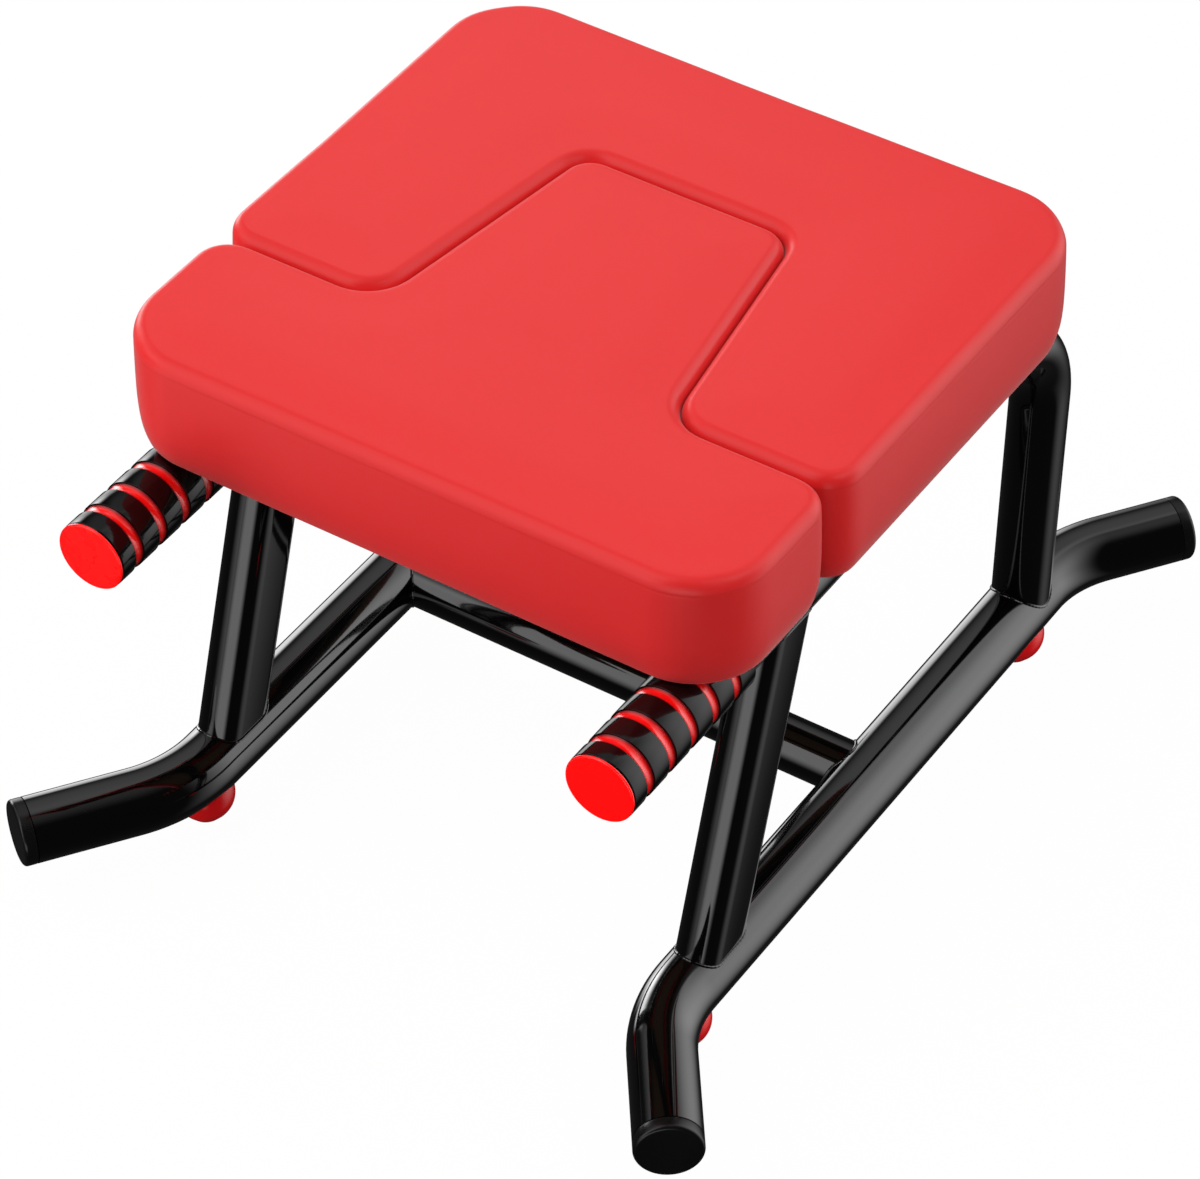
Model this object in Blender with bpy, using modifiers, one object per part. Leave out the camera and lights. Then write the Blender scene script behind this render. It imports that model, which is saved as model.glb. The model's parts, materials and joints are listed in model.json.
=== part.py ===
"""Yoga inversion bench: a welded steel tube frame, two front hand grips and a two-piece padded seat.

Metres, +Z up, -Y is the front, where the grips are. The origin is on the floor, at the middle of the
overall length and width. The T-shaped front pad plugs the neck opening of the U-shaped rear pad and
lifts straight off.
"""
import math

import bmesh
import bpy
from mathutils import Matrix, Vector

# Clearances between pieces that touch in the real bench
SEAT_GAP = 0.0003
PLUG_GAP = 0.0006
SLIDE_GAP = 0.0006

# Base tubes, one on each side, with splayed ends
FRAME_X = 0.157
BASE_RADIUS = 0.019
BASE_WALL = 0.0015
BASE_FRONT_BEND_Y = -0.209
BASE_REAR_BEND_Y = 0.221
BASE_FRONT_END = 0.095
BASE_REAR_END = 0.080
BASE_SPLAY = math.radians(35.5)
BASE_BEND_RADIUS = 0.085
BASE_SIDES = 16

# End plugs of the base tubes
END_CAP_HEAD = 0.008
END_CAP_PLUG = 0.014
END_CAP_ROUND = 0.0022

# Rubber feet under the base tubes
FOOT_HEIGHT = 0.015
FOOT_RADIUS = 0.017
FOOT_SOLE_RADIUS = 0.0095
FOOT_FRONT_Y = -0.188
FOOT_REAR_Y = 0.172
FOOT_SCREW_RADIUS = 0.0028
FOOT_SCREW_HEAD_RADIUS = 0.0056
FOOT_SCREW_HEAD = 0.0035
FOOT_SCREW_FACE = 0.0034
FOOT_SCREW_RECESS = 0.0055
FOOT_SCREW_REACH = 0.007

# Side rails: a rear leg, a bend and a rail that ends in the hand grip
RAIL_RADIUS = 0.017
RAIL_WALL = 0.0015
RAIL_Z = 0.2505
RAIL_BEND_RADIUS = 0.060
REAR_LEG_FOOT_Y = 0.1754
REAR_LEG_TOP_Y = 0.1832
RAIL_SIDES = 16

# Front legs of flat-sided oval tube
LEG_THICKNESS = 0.027
LEG_LENGTH = 0.045
LEG_WALL = 0.0015
LEG_FOOT_Y = -0.1637
LEG_TOP_Y = -0.0986
LEG_END_SIDES = 8

# Cross tube between the base tubes
CROSS_RADIUS = 0.016
CROSS_WALL = 0.0015
CROSS_Y = 0.0057

# Hand grips: a black sleeve with red rings and a red end cap
GRIP_RADIUS = 0.0203
GRIP_END_Y = -0.2678
GRIP_CAP_HEAD = 0.0012
GRIP_CAP_PLUG = 0.014
GRIP_CAP_ROUND = 0.0006
GRIP_RINGS = 5
GRIP_FIRST_RING = 0.0163
GRIP_PITCH = 0.0203
GRIP_RING_WIDTH = 0.0068
GRIP_GROOVE = 0.0022
GRIP_RING_SUNK = 0.0003
GRIP_RING_DISH = 0.0011
GRIP_LIP = 0.0006
GRIP_SIDES = 16

# Seat outline, seen from above
SEAT_WIDTH = 0.385
SEAT_FRONT_Y = -0.2075
SEAT_REAR_Y = 0.1625
SEAT_SPLIT_Y = -0.1012
NECK_REAR_Y = 0.0609
NECK_FRONT_HALF = 0.0899
NECK_REAR_HALF = 0.0661
SEAT_CORNER = 0.045
SPLIT_CORNER = 0.021
NECK_FRONT_CORNER = 0.026
NECK_REAR_CORNER = 0.018
PAD_PARTING = 0.0015
CORNER_STEPS = 4

# Seat pads, from the underside of the board to the crown
PAD_THICKNESS = 0.0709
PAD_CROWN = 0.0018
PAD_CROWN_REACH = 0.038
PAD_EDGE_ROUND = 0.0110
PAD_BULGE = 0.0008
PAD_UNDERCUT = 0.0060
# Side of the pad below its edge: share of the undercut and of the height
PAD_SIDE = ((1.0, 0.0), (0.45, 0.07), (0.12, 0.22))
PAD_BULGE_HEIGHT = 0.52
COVER_THICKNESS = 0.0012
COVER_HEM = 0.010
BOARD_THICKNESS = 0.012
BOARD_REBATE = 0.0016

# Flat bars and plates under the seat
BAR_THICKNESS = 0.003
BAR_END_OVERHANG = 0.014
BAR_CORNER = 0.006
FRONT_BAR_Y = -0.127
FRONT_BAR_WIDTH = 0.028
MID_BAR_Y = 0.056
MID_BAR_WIDTH = 0.044
REAR_BAR_Y = 0.104
REAR_BAR_WIDTH = 0.032
ARM_PLATE_Y = -0.066
ARM_PLATE_WIDTH = 0.040
ARM_PLATE_LENGTH = 0.059

# Fixings of the rear pad
BOLT_RADIUS = 0.004
BOLT_HEAD_RADIUS = 0.0075
BOLT_HEAD = 0.0050
BOLT_HOLE = 0.0046
BOLT_CHAMFER = 0.0008
REAR_BOLT_X = 0.105
ARM_BOLT_INSET = 0.014
NUT_BARREL_RADIUS = 0.0056
NUT_FLANGE_RADIUS = 0.0105
NUT_FLANGE = 0.0015
NUT_BARREL = 0.0085

# Dowels and bushes that locate the front pad
DOWEL_X = 0.060
DOWEL_RADIUS = 0.004
DOWEL_IN_BOARD = 0.010
DOWEL_BELOW_BOARD = 0.020
DOWEL_CHAMFER = 0.0015
BUSH_RADIUS = 0.0062
BUSH_FLANGE_RADIUS = 0.0095
BUSH_FLANGE = 0.0015
BUSH_TAIL = 0.004

SMALL_SIDES = 12

# Places that follow from the sizes above
BAR_HALF_LENGTH = FRAME_X + BAR_END_OVERHANG
ARM_PLATE_INNER_X = BAR_HALF_LENGTH - ARM_PLATE_LENGTH
ARM_BOLT_X = ARM_PLATE_INNER_X + ARM_BOLT_INSET
BASE_Z = FOOT_HEIGHT + BASE_RADIUS
BAR_BOTTOM_Z = RAIL_Z + RAIL_RADIUS + SEAT_GAP
BAR_TOP_Z = BAR_BOTTOM_Z + BAR_THICKNESS
PAD_Z = BAR_TOP_Z + SEAT_GAP
BOARD_TOP_Z = PAD_Z + BOARD_THICKNESS
GRIP_SLEEVE_END_Y = GRIP_END_Y + GRIP_CAP_HEAD + SEAT_GAP
GRIP_REAR_Y = GRIP_END_Y + GRIP_FIRST_RING + GRIP_PITCH * GRIP_RINGS - GRIP_RING_WIDTH / 2

# Colour, roughness and metallic value of each finish
FINISHES = {
    "gloss_black_paint": ((0.012, 0.012, 0.013), 0.12, 0.0),
    "black_plastic": ((0.014, 0.014, 0.015), 0.32, 0.0),
    "black_grip_rubber": ((0.016, 0.016, 0.017), 0.22, 0.0),
    "red_grip_rubber": ((0.78, 0.020, 0.020), 0.30, 0.0),
    "red_vinyl": ((0.83, 0.055, 0.058), 0.42, 0.0),
    "red_rubber": ((0.62, 0.012, 0.014), 0.28, 0.0),
    "pale_foam": ((0.80, 0.74, 0.55), 0.90, 0.0),
    "plywood": ((0.55, 0.38, 0.22), 0.70, 0.0),
    "zinc_steel": ((0.62, 0.63, 0.65), 0.30, 1.0),
    "black_bar_paint": ((0.016, 0.016, 0.017), 0.30, 0.0),
}

COLLECTION_NAME = "yoga_inversion_bench"
CUTTER_NAME = "cutters"


# Scene and material helpers
def clear_scene():
    for obj in list(bpy.data.objects):
        bpy.data.objects.remove(obj, do_unlink=True)
    for name in (COLLECTION_NAME, CUTTER_NAME):
        old = bpy.data.collections.get(name)
        if old:
            bpy.data.collections.remove(old)
        bpy.context.scene.collection.children.link(bpy.data.collections.new(name))


def finish_material(obj, finish):
    """Give the object its own Principled material in one of the finishes."""
    colour, roughness, metallic = FINISHES[finish]
    material = bpy.data.materials.new(obj.name + "_" + finish)
    material.use_nodes = True
    shader = material.node_tree.nodes["Principled BSDF"]
    shader.inputs["Base Color"].default_value = (*colour, 1.0)
    shader.inputs["Roughness"].default_value = roughness
    shader.inputs["Metallic"].default_value = metallic
    obj.data.materials.clear()
    obj.data.materials.append(material)


def place(obj, finish=None):
    """Link a finished piece to the bench, or a cutter to the hidden collection."""
    target = COLLECTION_NAME if finish else CUTTER_NAME
    bpy.data.collections[target].objects.link(obj)
    if finish:
        finish_material(obj, finish)
        obj.data.shade_smooth()
        obj.data.set_sharp_from_angle(angle=math.radians(35))
    else:
        obj.hide_render = True
        obj.display_type = "WIRE"
    return obj


def welded_mesh(curve_obj, name):
    """Turn a curve into a mesh with its caps welded, and remove the curve."""
    bpy.context.scene.collection.objects.link(curve_obj)
    bpy.context.view_layer.update()
    evaluated = curve_obj.evaluated_get(bpy.context.evaluated_depsgraph_get())
    mesh = bpy.data.meshes.new_from_object(evaluated)
    mesh.transform(curve_obj.matrix_world)
    bpy.data.objects.remove(curve_obj, do_unlink=True)
    bm = bmesh.new()
    bm.from_mesh(mesh)
    bmesh.ops.remove_doubles(bm, verts=bm.verts, dist=0.00001)
    bm.to_mesh(mesh)
    bm.free()
    mesh.name = name
    return mesh


def cut(obj, cutter):
    """Subtract a cutter, which stays in its own hidden collection."""
    modifier = obj.modifiers.new("cut_by_" + cutter.name, "BOOLEAN")
    modifier.operation = "DIFFERENCE"
    modifier.solver = "EXACT"
    modifier.object = cutter


# Shape helpers
def corner_radius(radius, sides):
    """Radius of the corners of a polygon whose flats lie at the radius."""
    return radius / math.cos(math.pi / sides)


def cylinder_cutter(name, radius, start, end, sides):
    """A closed cylinder from one point to another, whose flats lie at the radius."""
    start, end = Vector(start), Vector(end)
    outside = corner_radius(radius, sides)
    bm = bmesh.new()
    bmesh.ops.create_cone(bm, cap_ends=True, segments=sides, radius1=outside, radius2=outside,
                          depth=(end - start).length)
    turn = Vector((0, 0, 1)).rotation_difference(end - start).to_matrix().to_4x4()
    bmesh.ops.transform(bm, matrix=Matrix.Translation((start + end) / 2) @ turn, verts=bm.verts)
    mesh = bpy.data.meshes.new(name)
    bm.to_mesh(mesh)
    bm.free()
    return place(bpy.data.objects.new(name, mesh))


def bend(corner, before, after, radius, steps):
    """Points of the arc that rounds a corner between two directions of travel."""
    corner, before, after = Vector(corner), Vector(before).normalized(), Vector(after).normalized()
    angle = before.angle(after)
    start = corner - before * radius * math.tan(angle / 2)
    towards = (after - before * before.dot(after)).normalized()
    centre = start + towards * radius
    points = []
    for step in range(steps + 1):
        turned = angle * step / steps
        points.append(centre - towards * radius * math.cos(turned) + before * radius * math.sin(turned))
    return points


def swept_mesh(name, points, radius, sides, capped):
    """The surface of a round bar along a path."""
    curve = bpy.data.curves.new(name, "CURVE")
    curve.dimensions = "3D"
    curve.bevel_depth = radius
    curve.bevel_resolution = sides // 2 - 2
    curve.use_fill_caps = capped
    spline = curve.splines.new("POLY")
    spline.points.add(len(points) - 1)
    for point, position in zip(spline.points, points):
        point.co = (*position, 1.0)
    return welded_mesh(bpy.data.objects.new(name, curve), name)


def hollow_tube(name, points, radius, wall, sides, finish):
    """A round tube along a path, open at both ends, its wall inside the given radius."""
    mesh = swept_mesh(name, points, radius, sides, False)
    tube = place(bpy.data.objects.new(name, mesh), finish)
    shell = tube.modifiers.new("wall", "SOLIDIFY")
    shell.thickness = wall
    shell.offset = -1.0
    return tube


def turned(name, profile, sides, finish):
    """A turned piece about its own Z axis; the profile runs from the top axis down the outside."""
    mesh = bpy.data.meshes.new(name)
    mesh.from_pydata([(radius, 0.0, height) for radius, height in profile],
                     [(i, i + 1) for i in range(len(profile) - 1)], [])
    obj = bpy.data.objects.new(name, mesh)
    screw = obj.modifiers.new("turn", "SCREW")
    screw.steps = sides
    screw.render_steps = sides
    screw.use_merge_vertices = True
    screw.merge_threshold = 0.00001
    screw.use_smooth_shade = True
    return place(obj, finish)


def arc(radius, height, corner, start_deg, end_deg, steps):
    """Profile points of a rounded corner with its centre at (radius, height)."""
    points = []
    for step in range(steps + 1):
        angle = math.radians(start_deg + (end_deg - start_deg) * step / steps)
        points.append((radius + corner * math.cos(angle), height + corner * math.sin(angle)))
    return points


def circle(x, y, radius, sides):
    return [(x + radius * math.cos(2 * math.pi * i / sides), y + radius * math.sin(2 * math.pi * i / sides))
            for i in range(sides)]


def plate_mesh(name, outlines, bottom, thickness):
    """A flat plate from an outline and its holes, lying in XY."""
    curve = bpy.data.curves.new(name, "CURVE")
    curve.dimensions = "2D"
    curve.fill_mode = "BOTH"
    curve.extrude = thickness / 2
    for outline in outlines:
        spline = curve.splines.new("POLY")
        spline.points.add(len(outline) - 1)
        for point, (x, y) in zip(spline.points, outline):
            point.co = (x, y, 0.0, 1.0)
        spline.use_cyclic_u = True
    obj = bpy.data.objects.new(name, curve)
    obj.location.z = bottom + thickness / 2
    return welded_mesh(obj, name)


def rounded_outline(corners, inset, steps):
    """Points of a polygon with rounded corners, moved inwards by the inset.

    Each corner is (x, y, radius), anticlockwise. A convex corner's radius shrinks with the inset, an
    inward corner's grows.
    """
    count = len(corners)
    sharp = [Vector((x, y)) for x, y, _ in corners]
    along = [(sharp[(i + 1) % count] - sharp[i]).normalized() for i in range(count)]
    inward = [Vector((-d.y, d.x)) for d in along]
    points = []
    for i in range(count):
        before, after = along[i - 1], along[i]
        cross = before.x * after.y - before.y * after.x
        half_turn = before.angle(after) / 2
        shift = (inward[i - 1] + inward[i]).normalized() * (inset / math.cos(half_turn))
        corner = sharp[i] + shift
        radius = corners[i][2] - inset if cross > 0 else corners[i][2] + inset
        radius = max(radius, 0.001)
        side = inward[i - 1] if cross > 0 else -inward[i - 1]
        start = corner - before * radius * math.tan(half_turn)
        centre = start + side * radius
        for step in range(steps + 1):
            angle = 2 * half_turn * step / steps
            points.append(centre - side * radius * math.cos(angle) + before * radius * math.sin(angle))
    return points


def lofted(name, corners, profile, finish):
    """A closed body through rings of one outline, each ring given by its inset and height.

    The profile starts under the body and ends on top of it, and both ends are capped.
    """
    bm = bmesh.new()
    rings = []
    for inset, height in profile:
        rings.append([bm.verts.new((p.x, p.y, height)) for p in rounded_outline(corners, inset, CORNER_STEPS)])
    size = len(rings[0])
    for lower, upper in zip(rings, rings[1:]):
        for i in range(size):
            j = (i + 1) % size
            bm.faces.new((lower[i], lower[j], upper[j], upper[i]))
    bm.faces.new(list(reversed(rings[0])))
    bm.faces.new(rings[-1])
    bm.normal_update()
    bmesh.ops.triangulate(bm, faces=[f for f in bm.faces if len(f.verts) > 4])
    mesh = bpy.data.meshes.new(name)
    bm.to_mesh(mesh)
    bm.free()
    return place(bpy.data.objects.new(name, mesh), finish)


# Seat outlines: anticlockwise corners of (x, y, radius)
def seam_corners(parting):
    """Right half of the line between the pads, moved towards the rear pad by the parting."""
    taper = math.atan2(NECK_FRONT_HALF - NECK_REAR_HALF, NECK_REAR_Y - SEAT_SPLIT_Y)
    aside = parting / math.cos(taper) - parting * math.tan(taper)
    return [(SEAT_WIDTH / 2, SEAT_SPLIT_Y + parting, SPLIT_CORNER),
            (NECK_FRONT_HALF + aside, SEAT_SPLIT_Y + parting, NECK_FRONT_CORNER),
            (NECK_REAR_HALF + aside, NECK_REAR_Y + parting, NECK_REAR_CORNER)]


def mirrored(corners):
    return [(-x, y, radius) for x, y, radius in reversed(corners)]


def rear_pad_corners():
    seam = seam_corners(PAD_PARTING)
    rear = [(SEAT_WIDTH / 2, SEAT_REAR_Y, SEAT_CORNER)]
    return rear + mirrored(rear) + mirrored(list(reversed(seam))) + list(reversed(seam))


def front_pad_corners():
    seam = seam_corners(-PAD_PARTING)
    front = [(SEAT_WIDTH / 2, SEAT_FRONT_Y, SEAT_CORNER)]
    return mirrored(front) + front + seam + mirrored(seam)


# Pad section: inset from the outline and height, up the side and over the edge to the crown
def pad_section(edge_steps):
    edge = PAD_THICKNESS - PAD_EDGE_ROUND
    section = [(PAD_UNDERCUT * inset, PAD_THICKNESS * height) for inset, height in PAD_SIDE]
    section += [(-PAD_BULGE, PAD_THICKNESS * PAD_BULGE_HEIGHT), (0.0, edge)]
    for step in range(edge_steps):
        angle = math.pi / 2 * (step + 1) / edge_steps
        section.append((PAD_EDGE_ROUND * (1 - math.cos(angle)),
                        edge + PAD_EDGE_ROUND * math.sin(angle)))
    section.append((PAD_CROWN_REACH, PAD_THICKNESS + PAD_CROWN))
    return section


def inner_section(depth):
    """The pad section moved inwards by a depth, square to the surface."""
    section = pad_section(2)
    moved = []
    for i, (inset, height) in enumerate(section):
        before = section[max(i - 1, 0)]
        after = section[min(i + 1, len(section) - 1)]
        run = Vector((after[0] - before[0], after[1] - before[1])).normalized()
        moved.append((inset + run.y * depth, height - run.x * depth))
    return moved


def inset_at(section, height):
    """Inset of a section at a height, between its points."""
    for (inset_a, a), (inset_b, b) in zip(section, section[1:]):
        if a <= height <= b:
            return inset_a + (inset_b - inset_a) * (height - a) / (b - a)
    return section[0][0]


def make_pad(prefix, corners):
    """Cover, foam and board of one pad. The cover is a thin shell, hemmed under the board's edge."""
    outer = pad_section(3)
    inner = inner_section(COVER_THICKNESS)
    lining = inner_section(COVER_THICKNESS + SEAT_GAP)
    hem = outer[0][0] + COVER_HEM
    inner_wall = [(inset_at(inner, COVER_THICKNESS), COVER_THICKNESS)]
    inner_wall += [point for point in inner if point[1] > COVER_THICKNESS * 2]
    shell = list(reversed(inner_wall)) + [(hem, COVER_THICKNESS), (hem, 0.0)] + outer
    cover = lofted(prefix + "_cover", corners, [(inset, PAD_Z + height) for inset, height in shell], "red_vinyl")

    rebate_edge = hem + SEAT_GAP
    step = [(rebate_edge, 0.0), (rebate_edge, BOARD_REBATE),
            (inset_at(lining, BOARD_REBATE), BOARD_REBATE),
            (inset_at(lining, BOARD_THICKNESS), BOARD_THICKNESS)]
    board = lofted(prefix + "_board", corners, [(inset, PAD_Z + height) for inset, height in step], "plywood")

    foam_bottom = BOARD_THICKNESS + SEAT_GAP
    block = [(inset_at(lining, foam_bottom), foam_bottom)] + [p for p in lining if p[1] > foam_bottom * 1.1]
    foam = lofted(prefix + "_foam", corners, [(inset, PAD_Z + height) for inset, height in block], "pale_foam")
    return cover, board, foam


# Frame
def base_path(side):
    """Axis of a base tube, from its front end to its rear end, on one side of the bench."""
    out = math.sin(BASE_SPLAY)
    ahead = math.cos(BASE_SPLAY)
    front_bend = Vector((side * FRAME_X, BASE_FRONT_BEND_Y, BASE_Z))
    rear_bend = Vector((side * FRAME_X, BASE_REAR_BEND_Y, BASE_Z))
    to_front = Vector((side * out, -ahead, 0.0))
    to_rear = Vector((side * out, ahead, 0.0))
    cap = END_CAP_HEAD + SEAT_GAP
    points = [front_bend + to_front * (BASE_FRONT_END - cap)]
    points += bend(front_bend, -to_front, (0, 1, 0), BASE_BEND_RADIUS, 5)
    points += bend(rear_bend, (0, 1, 0), to_rear, BASE_BEND_RADIUS, 5)
    points.append(rear_bend + to_rear * (BASE_REAR_END - cap))
    return points, to_front, to_rear


def make_base(side, word):
    """One base tube with its plugs and feet. Returns its outside, which the legs are cut to."""
    points, to_front, to_rear = base_path(side)
    tube = hollow_tube("base_tube_" + word, points, BASE_RADIUS, BASE_WALL, BASE_SIDES, "gloss_black_paint")
    outside = swept_mesh("base_saddle_" + word, points, BASE_RADIUS + SEAT_GAP, BASE_SIDES, True)
    saddle = place(bpy.data.objects.new("base_saddle_" + word, outside))
    for end, tip, outward in (("front", points[0], to_front), ("rear", points[-1], to_rear)):
        make_end_cap("base_cap_%s_%s" % (end, word), tip, outward)
    for end, y in (("front", FOOT_FRONT_Y), ("rear", FOOT_REAR_Y)):
        make_foot(end + "_" + word, side, y, tube, saddle)
    return saddle


def make_end_cap(name, tip, outward):
    """A plastic plug: a head as wide as the tube, and a stem inside it."""
    plug = BASE_RADIUS - BASE_WALL - PLUG_GAP
    profile = [(0.0, END_CAP_HEAD)]
    profile += arc(BASE_RADIUS - END_CAP_ROUND, END_CAP_HEAD - END_CAP_ROUND, END_CAP_ROUND, 90, 0, 3)
    profile += [(BASE_RADIUS, 0.0), (plug, 0.0), (plug, -END_CAP_PLUG), (0.0, -END_CAP_PLUG)]
    cap = turned(name, profile, BASE_SIDES, "black_plastic")
    cap.location = tip + outward * SEAT_GAP
    cap.rotation_euler = Vector((0, 0, 1)).rotation_difference(outward).to_euler()


def make_foot(word, side, y, tube, saddle):
    """A domed rubber foot cut to sit against the tube, and the screw that holds it."""
    x = side * FRAME_X
    tube_bottom = FOOT_HEIGHT
    bore = FOOT_SCREW_RADIUS + SEAT_GAP
    recess = FOOT_SCREW_HEAD_RADIUS + SEAT_GAP
    crown = tube_bottom + FOOT_RADIUS * math.sin(math.radians(30))
    profile = [(bore, crown)]
    profile += arc(0.0, tube_bottom, FOOT_RADIUS, 30, -44, 6)
    profile += [(FOOT_SOLE_RADIUS, 0.0), (recess, 0.0), (recess, FOOT_SCREW_RECESS),
                (bore, FOOT_SCREW_RECESS), (bore, crown)]
    foot = turned("foot_" + word, profile, SMALL_SIDES, "red_rubber")
    foot.location = (x, y, 0.0)
    cut(foot, saddle)

    head_top = FOOT_SCREW_RECESS - SEAT_GAP
    top = tube_bottom + FOOT_SCREW_REACH
    profile = [(0.0, top), (FOOT_SCREW_RADIUS, top), (FOOT_SCREW_RADIUS, head_top),
               (FOOT_SCREW_HEAD_RADIUS, head_top), (FOOT_SCREW_HEAD_RADIUS, head_top - FOOT_SCREW_HEAD / 2),
               (FOOT_SCREW_FACE, head_top - FOOT_SCREW_HEAD), (0.0, head_top - FOOT_SCREW_HEAD)]
    screw = turned("foot_screw_" + word, profile, SMALL_SIDES, "zinc_steel")
    screw.location = (x, y, 0.0)
    hole = cylinder_cutter("foot_hole_" + word, bore, (x, y, tube_bottom - BASE_RADIUS / 2),
                           (x, y, tube_bottom + BASE_RADIUS / 2), SMALL_SIDES)
    cut(tube, hole)


def make_side_rail(side, word, saddle):
    """Rear leg, bend and rail in one tube. The rail runs forward to the end of the hand grip."""
    x = side * FRAME_X
    foot = Vector((x, REAR_LEG_FOOT_Y, BASE_Z))
    corner = Vector((x, REAR_LEG_TOP_Y, RAIL_Z))
    rise = (corner - foot).normalized()
    points = [foot] + bend(corner, rise, (0, -1, 0), RAIL_BEND_RADIUS, 6)
    points.append(Vector((x, GRIP_SLEEVE_END_Y, RAIL_Z)))
    rail = hollow_tube("side_rail_" + word, points, RAIL_RADIUS, RAIL_WALL, RAIL_SIDES, "gloss_black_paint")
    cut(rail, saddle)
    return rail


def oval(length, thickness):
    """Outline of flat-sided oval tube, its flats facing sideways."""
    radius = thickness / 2
    straight = (length - thickness) / 2
    points = []
    for end, start in ((1, 0), (-1, 180)):
        for step in range(LEG_END_SIDES + 1):
            angle = math.radians(start + 180 * step / LEG_END_SIDES)
            points.append((radius * math.cos(angle), end * straight + radius * math.sin(angle)))
    return points


def make_front_leg(side, word, saddle):
    """Oval tube that leans back from the base tube up to the rail, cut to fit both."""
    x = side * FRAME_X
    foot = Vector((x, LEG_FOOT_Y, BASE_Z))
    top = Vector((x, LEG_TOP_Y, RAIL_Z))
    outlines = [oval(LEG_LENGTH, LEG_THICKNESS),
                oval(LEG_LENGTH - 2 * LEG_WALL, LEG_THICKNESS - 2 * LEG_WALL)]
    mesh = plate_mesh("front_leg_" + word, outlines, 0.0, (top - foot).length)
    mesh.transform(Vector((0, 0, 1)).rotation_difference(top - foot).to_matrix().to_4x4())
    mesh.transform(Matrix.Translation(foot))
    leg = place(bpy.data.objects.new("front_leg_" + word, mesh), "gloss_black_paint")
    reach = LEG_LENGTH
    under_rail = cylinder_cutter("rail_saddle_" + word, RAIL_RADIUS + SEAT_GAP,
                                 (x, LEG_TOP_Y - reach, RAIL_Z), (x, LEG_TOP_Y + reach, RAIL_Z), RAIL_SIDES)
    cut(leg, saddle)
    cut(leg, under_rail)


def make_cross_tube(saddles):
    half = FRAME_X - BASE_RADIUS / 2
    tube = hollow_tube("cross_tube", [Vector((-half, CROSS_Y, BASE_Z)), Vector((half, CROSS_Y, BASE_Z))],
                       CROSS_RADIUS, CROSS_WALL, RAIL_SIDES, "gloss_black_paint")
    for saddle in saddles:
        cut(tube, saddle)


# Hand grips
def make_grip(side, word):
    """Black sleeve with red rings in its grooves, and the red cap that closes the tube."""
    x = side * FRAME_X
    bore = corner_radius(RAIL_RADIUS + SEAT_GAP, GRIP_SIDES)
    floor = GRIP_RADIUS - GRIP_GROOVE
    lift = Vector((0, 0, 1)).rotation_difference(Vector((0, -1, 0))).to_euler()
    front = -GRIP_SLEEVE_END_Y
    rear = -GRIP_REAR_Y
    profile = [(bore, front), (GRIP_RADIUS - GRIP_LIP, front), (GRIP_RADIUS, front - GRIP_LIP)]
    for index in range(GRIP_RINGS):
        middle = -GRIP_END_Y - GRIP_FIRST_RING - GRIP_PITCH * index
        high, low = middle + GRIP_RING_WIDTH / 2, middle - GRIP_RING_WIDTH / 2
        profile += [(GRIP_RADIUS, high), (floor, high), (floor, low), (GRIP_RADIUS, low)]
        make_grip_ring("grip_ring_%d_%s" % (index + 1, word), x, middle, floor, lift)
    profile += [(GRIP_RADIUS, rear + GRIP_LIP), (GRIP_RADIUS - GRIP_LIP, rear), (bore, rear), (bore, front)]
    sleeve = turned("grip_sleeve_" + word, profile, GRIP_SIDES, "black_grip_rubber")
    sleeve.location = (x, 0.0, RAIL_Z)
    sleeve.rotation_euler = lift

    plug = RAIL_RADIUS - RAIL_WALL - PLUG_GAP
    face = -GRIP_END_Y
    back = face - GRIP_CAP_HEAD
    profile = [(0.0, face)] + arc(GRIP_RADIUS - GRIP_CAP_ROUND, face - GRIP_CAP_ROUND, GRIP_CAP_ROUND, 90, 0, 2)
    profile += [(GRIP_RADIUS, back), (plug, back), (plug, back - GRIP_CAP_PLUG), (0.0, back - GRIP_CAP_PLUG)]
    cap = turned("grip_cap_" + word, profile, GRIP_SIDES, "red_grip_rubber")
    cap.location = (x, 0.0, RAIL_Z)
    cap.rotation_euler = lift


def make_grip_ring(name, x, middle, floor, lift):
    """A red ring with a hollowed outside, sunk a little in the sleeve."""
    half = GRIP_RING_WIDTH / 2 - SEAT_GAP
    inside = floor + SEAT_GAP
    shoulder = GRIP_RADIUS - GRIP_RING_SUNK
    profile = [(inside, middle + half)]
    for across in (1.0, 0.5, 0.0, -0.5, -1.0):
        profile.append((shoulder - GRIP_RING_DISH * (1 - across * across), middle + half * across))
    profile += [(inside, middle - half), (inside, middle + half)]
    ring = turned(name, profile, GRIP_SIDES, "red_grip_rubber")
    ring.location = (x, 0.0, RAIL_Z)
    ring.rotation_euler = lift


# Bars and plates under the seat
def bar_outline(left, right, y, width):
    low, high = y - width / 2, y + width / 2
    corners = [(left, low, BAR_CORNER), (right, low, BAR_CORNER), (right, high, BAR_CORNER), (left, high, BAR_CORNER)]
    return [tuple(point) for point in rounded_outline(corners, 0.0, 2)]


def make_bar(name, left, right, y, width, holes):
    outlines = [bar_outline(left, right, y, width)]
    outlines += [circle(x, hole_y, radius, SMALL_SIDES) for x, hole_y, radius in holes]
    mesh = plate_mesh(name, outlines, BAR_BOTTOM_Z, BAR_THICKNESS)
    place(bpy.data.objects.new(name, mesh), "black_bar_paint")


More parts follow.
